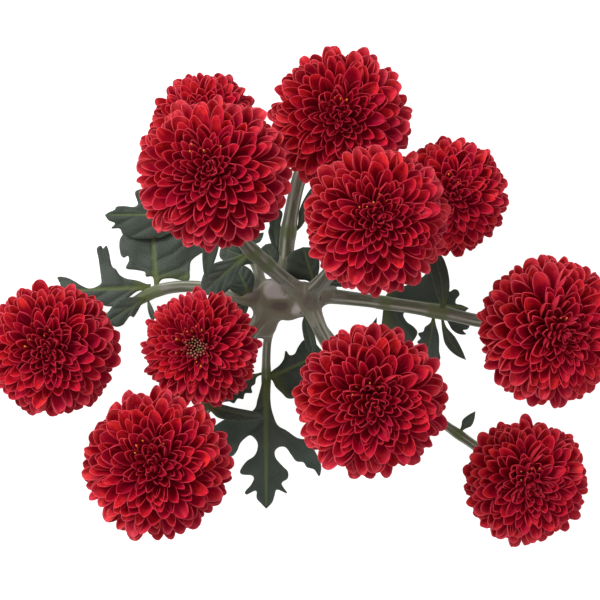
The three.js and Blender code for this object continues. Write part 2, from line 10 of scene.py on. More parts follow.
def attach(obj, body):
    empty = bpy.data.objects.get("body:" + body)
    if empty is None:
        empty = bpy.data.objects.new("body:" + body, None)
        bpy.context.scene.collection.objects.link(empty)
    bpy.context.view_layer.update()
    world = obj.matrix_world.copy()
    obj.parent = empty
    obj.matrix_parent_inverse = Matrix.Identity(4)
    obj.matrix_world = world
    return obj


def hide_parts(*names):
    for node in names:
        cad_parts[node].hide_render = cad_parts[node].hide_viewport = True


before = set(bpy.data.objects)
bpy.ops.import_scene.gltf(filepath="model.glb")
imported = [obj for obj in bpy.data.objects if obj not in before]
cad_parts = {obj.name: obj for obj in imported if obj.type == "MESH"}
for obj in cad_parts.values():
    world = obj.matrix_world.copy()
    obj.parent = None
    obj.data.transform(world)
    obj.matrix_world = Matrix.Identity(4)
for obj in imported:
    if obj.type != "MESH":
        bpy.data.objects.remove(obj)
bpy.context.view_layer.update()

# ------------------------------------------------------------ sizes and places, in millimetres

MM = 0.001
MIDDLE = (0.31, 0.68, 0.0)  # the middle of the spray's plan, which lies over the origin
GAP = 0.3  # between a piece and what it grows on
LEAF_SEAT = 0.25  # how much further off its stem a leaf's base is
BAKE_MAP = "OFBake"  # the UV map that the finishes can be baked through

# Each bloom: the middle of its ball, its radius over the petal tips, and how far its face leans
# from straight up towards +X and towards +Y, in degrees.
BLOOMS = {
    1: {"at": (-27.5, 50.6, 40), "radius": 16.8, "lean": (-2, 2)},
    2: {"at": (-23.7, 34.4, 84), "radius": 22, "lean": (-4, 4)},
    3: {"at": (11.4, 52.2, 52), "radius": 21.3, "lean": (1, -3)},
    4: {"at": (20.4, 22.3, 84), "radius": 21.4, "lean": (7, -1)},
    5: {"at": (43.7, 30.4, 42), "radius": 18.1, "lean": (0, -1)},
    6: {"at": (71.1, -8.5, 56), "radius": 22.3, "lean": (15, -7)},
    7: {"at": (65.8, -52.9, 40), "radius": 19.2, "lean": (8, -5)},
    8: {"at": (19.7, -28.0, 70), "radius": 22.5, "lean": (4, -4)},
    9: {"at": (-41.3, -47.5, 52), "radius": 22.4, "lean": (-1, 2)},
    10: {"at": (-72.4, -14.3, 45), "radius": 20.5, "lean": (-1, -2)},
    11: {"at": (-29.4, -14.3, 32), "radius": 18.2, "lean": (-5, 2)},
}
YOUNG_BLOOM = 11  # it still shows a disc of buds, and its petals are narrower

# The ball's shape, as shares of the bloom's radius.
CROWN = 0.8
SKIRT = 0.85
TUCK = 0.3
CORE = 0.56  # the heart that the petals stand in
HEART_END = 0.66 * pi  # how far from the bloom's axis its round top reaches
HEART_RINGS = 10
HEART_SIDES = 24
SEAT = 0.45
SEAT_RADIUS = 0.38
CUP_RADIUS = 0.4
CUP_DEPTH = 0.25
CUP_FOOT = 0.35
CUP_BELLY = (0.85, 0.45)
BOWL_BRIM = 0.97  # of the cup's radius
BOWL_SIDES = 32
NECK = 0.42
NECK_SUNK = 0.6

# Petals: their spacing as a share of the bloom's radius, from the middle of the face outwards.
GOLDEN_TURN = pi * (3 - sqrt(5))
CELL_MIDDLE = 0.094
CELL_OUTER = 0.195
CELL_FULL_AT = radians(58)
LAST_POLAR = radians(117)
PETAL_REACH = 1.01
PETAL_UNEVEN = 0.12  # how much the petals differ in length
PETAL_ASTRAY = 0.25  # how far a petal stands off its place, as a share of the spacing
PETAL_WIDE = 0.52  # half width as a share of the spacing
WIDTH_UNEVEN = 0.28
WIDEST = 0.66  # where a petal is widest, as a share of its length
PETAL_ROLL = radians(30)  # how far a petal turns about its own middle line at most
PETAL_SWAY = 0.7  # how far its tip strays sideways at most, as a share of its half width
PETAL_THICK = 0.3
BEND_UNEVEN = radians(15)
# Half the arc across a petal: at its foot, how much less from the shoulder on, and how uneven.
ARC = radians(108)
ARC_LESS = radians(20)
ARC_SHOULDER = 0.75
ARC_UNEVEN = radians(12)
# How far a petal is folded rather than round, how far its tip curls in from SPOON_FROM on, and
# how pointed its tip is. Each is followed by how far it is uneven.
FOLD, FOLD_UNEVEN = 0.3, 0.3
SPOON, SPOON_UNEVEN = 0.75, 0.4
SPOON_FROM = 0.68
POINTED, POINTED_UNEVEN = 2.7, 0.8
YOUNG_POINTED = 2.0
# A petal's tone: usual, how uneven, how much painted shade darkens it away from the key light, and
# the darkest.
TONE, TONE_UNEVEN = 0.2, 0.16
SHADE_AWAY = 0.16
TONE_MOST = 0.7
# Painted glow: the petals give off a little light in their own colour.
PAINTED_GLOW = 0.08  # the light that reaches a hollow through the petals round it
YOUNG_WIDTH = 0.86  # of a petal of the young bloom, as a share of the others' width
YOUNG_DISC = radians(12)  # its disc, which no petals grow on
# The points of a petal: rows from its foot to its tip, columns across, and its inside and back.
PETAL_ROWS = np.array([0, 0.3, 0.55, 0.72, 0.84, 0.92, 0.975, 1.0])[:, None]
PETAL_COLUMNS = np.array([-1, -0.75, -0.4, 0, 0.4, 0.75, 1])
PETAL_FACES = np.array([0.5, -0.5])[:, None, None]
TILE_MARGIN = 0.12  # the room that a petal's rim takes round its tile of the UV map
# The arcs of open disc florets: middle and count.
ARCS = [(0.62 * pi, 5)]
YOUNG_ARCS = [(0.75 * pi, 8), (-0.32 * pi, 4)]
FLORET_PLACES = (13, 22)  # degrees from the bloom's axis
# Out and height of a disc floret and of a closed bud, in millimetres.
FLORET = [(0.2, 0), (0.2, 0.9), (0.28, 1.5), (0.2, 1.9), (0, 2)]
BUD = [(0.3, 0), (0.36, 0.6), (0.3, 1.05), (0, 1.25)]
BUDS = 44
# How far a petal bends outwards from the ball's own direction, by its angle from the axis.
PETAL_BEND = ([0, 12, 35, 65, 90, 117], [2, 14, 24, 20, 8, 2])

# Stems. Knobs are the middles and half sizes of the swollen nodes.
HUB = (1.8, 1.2, 22)
LOWER_NODE = (-10.6, -0.3, 16)
KNOBS = [(HUB, (3.8, 4.6, 3.4)), ((-6.6, 0.4, 17.3), (6.8, 5.9, 3.5)),
         ((-3.2, -3.2, 17.6), (4.4, 3.1, 3)), ((-9.3, -7.2, 11.8), (2.3, 4, 3.4))]
NODE_REACH = 17  # how far from the hub's middle the stems grow together
NODE_CELL = 0.35
NODE_WEB = 2.4  # how far the webs between the stems round their creases off
NODE_ROUNDS = 40  # of smoothing
NODE_SWELL = 0.12
NODE_EDGE = 2.6  # how far the node's colour reaches, in half sizes of a knob
NODE_FADE = 1.6  # over how many of them it fades
# Where the node's bark is bleached, above 0, or dark, below 0: middle, half sizes and how much.
BARK = [((-8.8, 3.2), (3.2, 2.8), 1.0), ((-13.8, 2.2), (2.2, 2.2), -1.0),
        ((-5, 1), (2.4, 1.4), 0.6), ((-6.2, -1.8), (3.4, 1.7), -0.9),
        ((-1.2, -2.8), (2, 2.2), 0.8), ((3, -0.8), (2.2, 3), -1.0), ((1.5, 2.8), (0.8, 2.5), 0.7)]
STEM_SIDES = 36
STEM_STEP = 1.3
STEM_RIBS = 6
RIB_DEPTH = 0.12
STEM_TWIST = 0.012  # radians a millimetre at most
# How much a stem swells at its node and at its leaves, and how far along it each swelling
# and the one into its cup reach.
FOOT_SWELL, FOOT_REACH = 0.4, 6
JOINT_SWELL, JOINT_REACH = 0.12, 2.4
CUP_REACH = 2.2
# The rows of scales on a cup: where a row starts and ends up its side, and how many it has.
BRACTS = [(0.0, 0.5, 9), (0.2, 0.78, 12), (0.42, 1.0, 14)]
BRACT_ROWS = np.linspace(0, 1, 6)[:, None]
BRACT_COLUMNS = np.array([-1, -0.5, 0, 0.5, 1])
BRACT_WIDE = 0.62  # half width as a share of the step round the cup
STEMS = {
    "main": (1.5, [HUB, (-5.4, -2.5, 16), (-8.3, -7.3, 11.5), (-9.9, -12, 7.6),
                   (-10.4, -17, 4.4), (-10.5, -24.6, 1.8), (-10.6, -34, 1.2), (-10.6, -43, 1.2)]),
    1: (1.6, [LOWER_NODE, (-13.9, 11.7, 9), (-18.5, 20, 5), (-20, 33, 0.9), (-25, 44, 6)]),
    2: (2.3, [HUB, (-9, 10, 33.5), (-17.5, 18.5, 44.5), (-21.6, 27.5, 51.5)]),
    3: (2.3, [(-5, 1.6, 18.5), (-4.5, 11.5, 17), (-2.4, 27.3, 19), (0.7, 39.5, 19.5),
              (6.2, 49.8, 21.5)]),
    4: (2.2, [HUB, (8.5, 7.6, 36), (14, 16.5, 49.5)]),
    5: (1.6, [HUB, (10, 5, 15), (22, 13, 6), (33, 21.5, 0.9), (40, 27.5, 7)]),
    6: (2.2, [HUB, (8, 1.3, 20), (30.4, -1.5, 17), (42.5, -3.6, 18), (54.4, -6.3, 21),
              (62, -6.9, 28)]),
    7: (1.6, [HUB, (5.4, -6.4, 16.5), (10.3, -13, 12), (21.5, -22, 7), (36, -32, 1.1),
              (45.1, -38.8, 2.6), (54.2, -45.2, 5), (61, -50, 13)]),
    8: (2.3, [HUB, (7.4, -11.5, 29.5), (12.8, -20.5, 36.5)]),
    9: (2.0, [(-2, 1.5, 20), (-11.6, -6.7, 15), (-19.9, -19, 12), (-26.9, -30, 12),
              (-35, -41, 18)]),
    10: (2.0, [LOWER_NODE, (-18.8, 1.1, 14), (-31.6, 4.1, 10), (-43.2, 3.1, 6),
               (-52.7, -1.5, 1.4), (-63, -8, 6)]),
    11: (1.5, [LOWER_NODE, (-13.2, -5.8, 10.5), (-20.5, -10.8, 8.5)]),
}

# Half outlines of the leaves from base to tip: share of the length, share of the spread.
LANCE = [(0, 0.22), (0.15, 0.45), (0.4, 1), (0.6, 0.95), (0.8, 0.6), (1, 0)]
TONGUE = [(0, 0.3), (0.15, 0.6), (0.35, 0.92), (0.7, 1), (0.9, 0.75), (1, 0)]
TOOTHED_LANCE = [(0, 0.2), (0.2, 0.4), (0.42, 0.9), (0.5, 0.7), (0.66, 1), (0.72, 0.65),
                 (0.86, 0.6), (0.9, 0.3), (1, 0)]
BROAD = [(0, 0.1), (0.1, 0.16), (0.2, 0.55), (0.3, 0.62), (0.36, 1), (0.48, 0.75), (0.58, 0.98),
         (0.66, 0.7), (0.78, 0.75), (0.84, 0.4), (1, 0)]
PARTED = (
    [(0, 0.07), (0.2, 0.09), (0.27, 0.13), (0.35, 0.21), (0.39, 0.36), (0.45, 0.56), (0.47, 0.75),
     (0.59, 0.92), (0.68, 0.99), (0.75, 0.95), (0.7, 0.86), (0.68, 0.73), (0.64, 0.67),
     (0.63, 0.54), (0.58, 0.45), (0.52, 0.34), (0.52, 0.23), (0.55, 0.16), (0.6, 0.17),
     (0.67, 0.3), (0.71, 0.39), (0.76, 0.39), (0.8, 0.28), (0.88, 0.38), (0.85, 0.19),
     (0.9, 0.15), (0.95, 0.11), (1, 0)],
    [(0, 0.07), (0.16, 0.16), (0.22, 0.2), (0.27, 0.39), (0.3, 0.7), (0.35, 0.89), (0.39, 1),
     (0.47, 0.96), (0.55, 0.81), (0.59, 0.69), (0.59, 0.6), (0.55, 0.52), (0.49, 0.46),
     (0.45, 0.37), (0.43, 0.28), (0.48, 0.16), (0.54, 0.16), (0.59, 0.22), (0.63, 0.35),
     (0.71, 0.47), (0.73, 0.45), (0.74, 0.25), (0.76, 0.22), (0.81, 0.27), (0.87, 0.38),
     (0.89, 0.36), (0.86, 0.18), (0.92, 0.17), (0.96, 0.09), (1, 0)],
)
FANNED = (
    [(0, 0.1), (0.1, 0.2), (0.21, 0.25), (0.33, 0.38), (0.42, 0.6), (0.45, 0.4), (0.53, 0.37),
     (0.64, 0.53), (0.78, 0.65), (0.84, 0.5), (0.93, 0.6), (0.95, 0.3), (1, 0)],
    [(0, 0.12), (0.01, 0.4), (0.05, 0.65), (0.09, 0.88), (0.19, 0.96), (0.31, 1), (0.42, 0.78),
     (0.55, 0.89), (0.61, 0.58), (0.76, 0.58), (0.82, 0.27), (1, 0)],
)
JAGGED = (
    [(0, 0.1), (0.09, 0.28), (0.23, 0.51), (0.36, 0.89), (0.46, 0.64), (0.57, 0.81), (0.68, 0.85),
     (0.78, 0.81), (0.86, 0.68), (0.88, 0.49), (0.95, 0.47), (0.92, 0.3), (0.97, 0.19), (1, 0)],
    [(0, 0.1), (0.09, 0.28), (0.24, 0.53), (0.35, 0.92), (0.43, 0.61), (0.52, 0.58), (0.63, 1),
     (0.69, 0.93), (0.76, 0.8), (0.74, 0.36), (0.77, 0.28), (0.85, 0.31), (0.91, 0.28),
     (0.92, 0.19), (0.97, 0.09), (1, 0)],
)
ROUNDED = (
    [(0, 0.04), (0.09, 0.05), (0.1, 0.17), (0.16, 0.18), (0.2, 0.35), (0.23, 0.52), (0.34, 0.46),
     (0.41, 0.47), (0.39, 0.55), (0.43, 0.6), (0.66, 0.6), (0.77, 0.47), (0.75, 0.3), (0.9, 0.26),
     (0.88, 0.12), (1, 0)],
    [(0, 0.04), (0.05, 0.1), (0.06, 0.28), (0.03, 0.6), (0.14, 0.63), (0.28, 0.66), (0.38, 0.83),
     (0.43, 1), (0.55, 0.92), (0.59, 0.72), (0.73, 0.7), (0.74, 0.48), (0.89, 0.41), (0.87, 0.21),
     (1, 0)],
)
HORNED = (
    [(0, 0.06), (0.1, 0.09), (0.2, 0.22), (0.31, 0.38), (0.45, 0.41), (0.58, 0.33), (0.68, 0.34),
     (0.75, 0.2), (0.9, 0.18), (1, 0)],
    [(0, 0.12), (0.14, 0.18), (0.23, 0.22), (0.3, 0.31), (0.34, 0.44), (0.38, 0.5), (0.4, 0.66),
     (0.41, 0.84), (0.44, 1), (0.48, 0.93), (0.5, 1), (0.55, 0.95), (0.54, 0.7), (0.53, 0.49),
     (0.52, 0.28), (0.52, 0.14), (0.58, 0.06), (0.66, 0.03), (0.74, 0.09), (0.83, 0.21),
     (0.93, 0.31), (1.03, 0.32), (1, 0.15), (1, 0)],
)
CLEFT = (
    [(0, 0.12), (0.12, 0.28), (0.28, 0.6), (0.41, 0.78), (0.45, 0.57), (0.6, 0.75), (0.7, 0.87),
     (0.84, 0.74), (0.93, 0.35), (1, 0)],
    [(0, 0.12), (0.08, 0.42), (0.24, 0.77), (0.41, 0.97), (0.58, 1), (0.74, 0.79), (0.89, 0.51),
     (1, 0)],
)
LYRE = (
    [(0, 0.03), (0.05, 0.16), (0.16, 0.25), (0.29, 0.35), (0.39, 0.46), (0.46, 0.58),
     (0.49, 0.74), (0.55, 0.73), (0.59, 0.49), (0.71, 0.31), (0.77, 0.3), (0.82, 0.36),
     (0.86, 0.34), (0.88, 0.25), (0.85, 0.16), (0.85, 0.07), (0.92, 0.05), (1, 0)],
    [(0, 0.03), (0.01, 0.29), (0.01, 0.62), (0.08, 0.94), (0.28, 1), (0.41, 0.82), (0.46, 0.62),
     (0.41, 0.51), (0.31, 0.41), (0.26, 0.27), (0.35, 0.17), (0.55, 0.17), (0.76, 0.28),
     (0.85, 0.49), (0.93, 0.56), (1, 0.54), (0.96, 0.47), (1.01, 0.44), (1.03, 0.35),
     (0.91, 0.29), (0.93, 0.16), (1, 0)],
)
SLANTED = ([(0, 0.1), (0.35, 0.6), (0.75, 0.8), (0.97, 0.95), (1, 0)], BROAD)
LOPSIDED = (
    [(0, 0.25), (0.1, 0.6), (0.35, 1), (0.6, 0.9), (0.85, 0.55), (1, 0)],
    [(0, 0.2), (0.1, 0.35), (0.3, 0.7), (0.6, 0.8), (0.9, 0.5), (1, 0)],
)
DIPPED = (
    [(0, 0.3), (0.15, 0.5), (0.4, 0.55), (0.7, 0.6), (0.87, 0.5), (1, 0)],
    [(0, 0.5), (0.15, 1), (0.35, 0.95), (0.6, 0.8), (0.85, 0.4), (1, 0)],
)
EARED = (
    [(0, 0.1), (0.15, 0.2), (0.3, 0.75), (0.45, 1), (0.8, 0.85), (0.95, 0.6), (1, 0)],
    [(0, 0.1), (0.2, 0.25), (0.4, 0.42), (0.7, 0.52), (0.9, 0.4), (1, 0)],
)
OUTLINES = {
    "lance": (LANCE, LANCE),
    "tongue": (TONGUE, TONGUE),
    "toothedLance": (TOOTHED_LANCE, TOOTHED_LANCE),
    "broad": (BROAD, BROAD),
    "parted": PARTED,
    "fanned": FANNED,
    "jagged": JAGGED,
    "rounded": ROUNDED,
    "horned": HORNED,
    "cleft": CLEFT,
    "lyre": LYRE,
    "slanted": SLANTED,
    "lopsided": LOPSIDED,
    "dipped": DIPPED,
    "eared": EARED,
}
# Side veins of each half: where each leaves the midrib, and its far end.
SOFT_VEINS = [(0.1, 0.38, 0.7), (0.3, 0.6, 0.75), (0.5, 0.78, 0.5)]
BROAD_VEINS = [(0.08, 0.36, 0.92), (0.3, 0.58, 0.9), (0.55, 0.78, 0.65)]
VEINS = {
    "lance": (SOFT_VEINS, SOFT_VEINS),
    "tongue": (SOFT_VEINS, SOFT_VEINS),
    "toothedLance": (SOFT_VEINS, SOFT_VEINS),
    "broad": (BROAD_VEINS, BROAD_VEINS),
    "slanted": ([(0.4, 0.92, 0.5)], BROAD_VEINS),
    "lopsided": (SOFT_VEINS, SOFT_VEINS),
    "dipped": ([(0.1, 0.38, 0.45), (0.4, 0.7, 0.45)], SOFT_VEINS),
    "eared": ([(0.12, 0.42, 0.85), (0.4, 0.78, 0.75)], [(0.15, 0.4, 0.35), (0.4, 0.75, 0.4)]),
    "parted": ([(0.28, 0.73, 0.9), (0.5, 0.75, 0.34), (0.7, 0.87, 0.32)],
               [(0.2, 0.45, 0.92), (0.3, 0.57, 0.62), (0.5, 0.71, 0.42), (0.68, 0.87, 0.34)]),
    "fanned": ([(0.12, 0.42, 0.52), (0.35, 0.78, 0.58), (0.6, 0.92, 0.5)],
               [(0.02, 0.1, 0.8), (0.06, 0.31, 0.92), (0.25, 0.55, 0.8), (0.5, 0.75, 0.5)]),
    "jagged": ([(0.1, 0.36, 0.82), (0.3, 0.57, 0.76), (0.5, 0.78, 0.74), (0.74, 0.93, 0.42)],
               [(0.1, 0.35, 0.84), (0.4, 0.64, 0.92), (0.62, 0.84, 0.26)]),
    "rounded": ([(0.06, 0.23, 0.46), (0.14, 0.43, 0.54), (0.35, 0.66, 0.54), (0.6, 0.89, 0.2)],
                [(0.03, 0.09, 0.54), (0.08, 0.43, 0.9), (0.3, 0.59, 0.66), (0.55, 0.87, 0.34)]),
    "horned": ([(0.15, 0.45, 0.36), (0.4, 0.68, 0.28)], [(0.22, 0.5, 0.92), (0.45, 0.98, 0.26)]),
    "cleft": ([(0.1, 0.4, 0.7), (0.3, 0.7, 0.8)], [(0.1, 0.41, 0.88), (0.35, 0.74, 0.7)]),
    "lyre": ([(0.14, 0.5, 0.68), (0.55, 0.84, 0.3)],
             [(0.02, 0.1, 0.84), (0.03, 0.3, 0.9), (0.08, 0.42, 0.72), (0.55, 0.93, 0.5),
              (0.65, 1.0, 0.37)]),
}

# Each leaf: its stem, how far along it and on which side, its tip, outline, half spread, how
# much its midrib arches, how much its edges rise, and how much its midrib bows to its left.
Leaf = namedtuple("Leaf", "stem share side tip outline spread arch rise bow")
LEAVES = {
    1: ("main", 0.664, (0, 0, 1), (-10.5, -64.8, 1.4), "parted", 17.3, 1.2, -0.08, 0),
    2: ("main", 0.653, (1, 0.3, 0.5), (7.4, -16.1, 5), "fanned", 9.3, 1, 0, 0),
    3: ("main", 0.636, (-1, 0.2, 0.2), (-24.6, -32, 2.2), "broad", 4.3, 1.2, 0, -1),
    4: (9, 0.545, (0.3, -0.3, 1), (-11, -36.2, 11), "dipped", 2.8, 1.2, 0.2, -0.4),
    5: (1, 0.409, (-1, 0.2, 0.2), (-60.2, 26.2, 7), "jagged", 8.8, 1.5, 0, 0),
    6: (10, 0.396, (0, 1, 0), (-45.9, 26.6, 3), "rounded", 17.1, 0.5, 0, 0),
    7: (10, 0.427, (0, 1, 0.6), (-74, 2.8, 4.8), "horned", 13.4, 0.3, 0, 0),
    8: (10, 0.447, (0.1, -0.3, 1), (-59.8, -7.1, 8), "cleft", 3.8, 0.6, 0, 0),
    9: (10, 0.445, (0, -1, 0.1), (-45.2, -6.2, 4.5), "tongue", 0.9, 0.4, 0.2, 0),
    10: (2, 0.72, (-0.3, -0.8, -0.3), (-27.5, 5.5, 50), "lance", 2.3, 1.5, 0.3, 0),
    11: (2, 0.4, (-0.6, -0.6, -0.5), (-29.5, 2, 20), "lance", 4.4, 2, 0.2, 0),
    12: (2, 0.3, (-0.8, 0.2, -0.3), (-22, 15, 30), "toothedLance", 3.5, 1, 0.2, 0),
    13: (5, 0.05, (-0.3, 0.9, 0.5), (0.9, 16, 22), "eared", 7.1, 0.8, 0, 0),
    14: (3, 0.13, (-1, 0, -0.3), (-7.9, 34, 11), "toothedLance", 2.4, 1, 0.2, 0),
    15: (6, 0.3, (0, 0.5, -1), (52, -2.5, 7), "lyre", 14.9, -1.5, 0, 0),
    16: (6, 0.52, (0, 0.8, 0.6), (40.1, 15, 24), "tongue", 2.5, 1.5, 0.3, -0.6),
    17: (6, 0.49, (0, -1, -0.4), (39, -17.8, 12), "slanted", 4, 1, 0.1, 0),
    18: (6, 0.525, (0.2, -1, 0), (50.8, -18.3, 13), "lance", 1.8, 0.8, 0.1, -1),
    19: (7, 0.29, (0.6, 0.7, 0), (23.6, -5.2, 10), "lance", 1.4, 0.5, 0.2, 0),
    20: (7, 0.669, (0.5, 0.8, 0), (54, -34.2, 8), "lance", 1.6, 0.6, 0.3, 0),
    21: (10, 0.055, (0, 0.8, 1), (-19.4, 10.3, 17), "lopsided", 4.7, 0.8, 0, 0),
    22: (10, 0.06, (0, -0.9, -0.9), (-22, -2.8, 7), "tongue", 4.2, 0.4, 0.1, 0),
    23: (1, 0.19, (-1, 0.2, 0), (-24.6, 15.6, 9), "tongue", 2.8, 0.6, 0.1, 0),
    24: (3, 0.12, (-1, 0.1, 0.3), (-10.4, 17, 16), "tongue", 2.4, 0.8, 0.1, 0),
    25: (8, 0.1, (-1, -0.2, -0.4), (4, -16, 22), "tongue", 1.7, -0.6, 0.2, 0),
    26: (3, 0.275, (1, 0, -0.3), (4.2, 35.1, 18), "lance", 1.6, 0.6, 0.2, 0),
    27: (5, 0.105, (0, 1, 0.6), (14.9, 4.8, 20), "tongue", 1.2, 0.5, 0.1, 0),
    28: (1, 0.26, (1, 0.1, 0.2), (-11.1, 20.8, 8), "lance", 1.3, 0.4, 0.2, 0),
}
LEAVES = {number: Leaf(*row) for number, row in LEAVES.items()}
LEAF_THICK = 0.45
LEAF_GRAIN = 0.5  # spacing of a leaf's points
LEAF_EDGE_STEP = 0.36
LEAF_CLASP = 1.0  # how far a leaf's base runs back into its stem
CLASP_SUNK = 0.5  # how far it is sunk in
CLASP_REACH = 3.5
LEAF_CLEAR = 0.02  # over the floor at least
EDGE_WIDTH = 0.4
VEIN_WIDTH = 0.3
VEIN_RAISED = 0.15
RIB_WIDTH, RIB_WIDENS = 0.5, 0.045  # the midrib, and how much wider it is for a wider leaf
STALK = 0.22  # share of the length
KEEL = 1.2
RIPPLE = 0.05
PUFF, PUFF_REACH = 0.3, 1.3  # how steeply the blade rises beside its veins, and how far

# How far apart in the noise two petals, stems or leaves are, so that no two look alike.
PETAL_APART = 7.0
STEM_APART = 9.0
LEAF_APART = 11.0

# Seeds. A bloom, a cup or a leaf adds its own number to the seed of its kind.
STEM_SEED = 5
FLORET_SEED = 100
CUP_SEED = 200
LEAF_SEED = 300

# Camera: straight above the spray's own middle.
CAMERA_HEIGHT = 750
CAMERA_LENS = 144.66
SENSOR = 36

# The floor and the light, in metres and watts: each lamp's place, size and power.
FLOOR_HALF = 2.0
FLOOR_DROP = 0.00005
FLOOR_GLOW = 0.92
DAYLIGHT = 0.65
LAMPS = {"key": ((-0.7, 0.6, 1.0), 0.7, 19), "fill": ((0.6, -0.4, 1.0), 0.9, 2)}


# ------------------------------------------------------------ finishes

class Value:
    """A number, colour or vector in a finish. Sums on it add Math nodes."""

    def __init__(self, paint, socket):
        self.paint = paint
        self.socket = socket

    def sum(self, operation, first, second):
        return self.paint.node("Math", {"operation": operation}, {0: first, 1: second})

    def __add__(self, other):
        return self.sum("ADD", self, other)

    def __sub__(self, other):
        return self.sum("SUBTRACT", self, other)

    def __rsub__(self, other):
        return self.sum("SUBTRACT", other, self)

    def __mul__(self, other):
        return self.sum("MULTIPLY", self, other)

    __radd__ = __add__
    __rmul__ = __mul__


class Paint:
    """One finish: a material, its shader, and the one method that adds nodes to it."""

    MIX_FACTOR, MIX_A, MIX_B, MIX_RESULT = 0, 6, 7, 2

    def __init__(self, name):
        self.material = bpy.data.materials.new(name)
        self.material.use_nodes = True
        self.tree = self.material.node_tree
        self.shader = self.tree.nodes["Principled BSDF"]

    def node(self, kind, settings=None, sockets=None, result=0):
        made = self.tree.nodes.new("ShaderNode" + kind)
        for name, setting in (settings or {}).items():
            setattr(made, name, setting)
        for name, value in (sockets or {}).items():
            self.feed(made.inputs[name], value)
        return Value(self, made.outputs[result])

    def feed(self, socket, value):
        if isinstance(value, Value):
            self.tree.links.new(value.socket, socket)
        else:
            socket.default_value = value

    def surface(self, **sockets):
        for name, value in sockets.items():
            self.feed(self.shader.inputs[name.replace("_", " ")], value)
        return self.material

    def painted(self, *names):
        """Numbers that the mesh holds at each point."""
        return [self.node("Attribute", {"attribute_name": name}, result="Fac") for name in names]

    def place(self):
        """Where each point is on its own petal, leaf or stem."""
        return self.node("Attribute", {"attribute_name": "place"}, result="Vector")

    def noise(self, where, scale, detail=2.0):
        sockets = {"Vector": where, "Scale": scale, "Detail": detail}
        return self.node("TexNoise", {}, sockets, result="Fac")

    def grain(self, stretch, detail=2.0):
        """Noise over the mesh's own place, with a fineness of its own along each axis."""
        where = self.node("VectorMath", {"operation": "MULTIPLY"}, {0: self.place(), 1: stretch})
        return self.noise(where, 1.0, detail)

    def ramp(self, value, low, high):
        """0 up to low, 1 from high, and smooth between."""
        sockets = {"Value": value, "From Min": low, "From Max": high}
        return self.node("MapRange", {"interpolation_type": "SMOOTHSTEP"}, sockets)

    def mix(self, share, first, second):
        sockets = {self.MIX_FACTOR: share, self.MIX_A: first, self.MIX_B: second}
        return self.node("Mix", {"data_type": "RGBA"}, sockets, result=self.MIX_RESULT)

    def layered(self, skin, *layers):
        """A colour with others laid over it in turn, each by its own share."""
        for share, tint in layers:
            skin = self.mix(share, skin, tint)
        return skin

    def bumped(self, height, distance, strength):
        """A normal that rises with height, distance metres at height 1."""
        sockets = {"Height": height, "Distance": distance, "Strength": strength}
        return self.node("Bump", {}, sockets)


def colour(red, green, blue):
    """A screen colour, 0 to 255, as the linear one that shaders take."""
    def linear(part):
        share = part / 255
        return share / 12.92 if share <= 0.04045 else ((share + 0.055) / 1.055) ** 2.4
    return (linear(red), linear(green), linear(blue), 1.0)


def petal_finish():
    """Crimson petals: painted shade in the hollow and at the foot, painted light up the sides, a
    pale margin that is partly painted highlight, and a faint painted glow.
    """
    paint = Paint("petal_crimson")
    along, rim, inside, outward, tone = paint.painted("along", "rim", "inside", "outward", "tone")
    streaks = paint.grain((3.2, 0.35, 1.0))
    mottle = paint.grain((0.5, 0.4, 1.0))
    tip = paint.ramp(along, 0.5, 1.0)
    height = paint.ramp(rim + 0.5 * (mottle - 0.5), 0.0, 0.9)
    # Coral near the tips in random patches, weakened by the tone's painted shade, so partly
    # painted light on the side towards the key light.
    coral_and_light = paint.ramp(mottle, 0.4, 0.65) * paint.ramp(outward, 0.15, 0.5) * tip * (1 - tone)
    faded = paint.ramp(outward, 0.42, 0.65) * tip * paint.ramp(rim, 0.1, 0.9)
    # A pale line along the margin: partly the petal's own paler edge, partly painted highlight
    # where light comes through the thin rim.
    edge = paint.ramp(rim, 0.84, 1.0) * tip * paint.ramp(mottle + 0.4 * outward, 0.4, 0.8)
    # Painted shade and light: each petal dark down its hollow and bright up its sides.
    face = paint.mix(height, colour(154, 2, 32), colour(210, 24, 48))
    # Painted shade: each petal darker towards its foot, deep in the ball.
    face = paint.mix(tip, colour(136, 1, 28), face)
    face = paint.mix(coral_and_light * 0.8, face, colour(228, 48, 36))
    back = paint.mix(paint.ramp(mottle, 0.35, 0.7), colour(166, 18, 40), colour(192, 44, 56))
    skin = paint.layered(
        paint.mix(inside, back, face),
        # Darker purple by each petal's tone, which is random and partly painted shade away from
        # the key light.
        (tone, colour(146, 2, 50)),
        (paint.ramp(streaks, 0.45, 0.8) * 0.3, colour(116, 0, 24)),
        (paint.ramp(outward, 0.45, 0.05) * 0.7, colour(128, 3, 28)),
        (faded * 0.42, colour(202, 88, 98)),
        (edge * 0.25, colour(200, 88, 98)),
    )
    # The emission is painted light: a faint glow in the petals' own colour that stands in for
    # light passing through them.
    return paint.surface(Base_Color=skin, Roughness=0.5 + 0.2 * (1 - inside),
                         Normal=paint.bumped(streaks, 0.00012, 0.5), Specular_IOR_Level=0.15,
                         Emission_Color=skin, Emission_Strength=PAINTED_GLOW)


def heart_shade_finish():
    """The flower's heart, which the petals stand in: nearly black crimson, painted shade for the
    depths between the petals.
    """
    paint = Paint("bloom_heart")
    skin = paint.mix(paint.noise(paint.place(), 2.0), colour(72, 1, 14), colour(112, 6, 24))
    return paint.surface(Base_Color=skin, Roughness=0.8, Specular_IOR_Level=0.1)


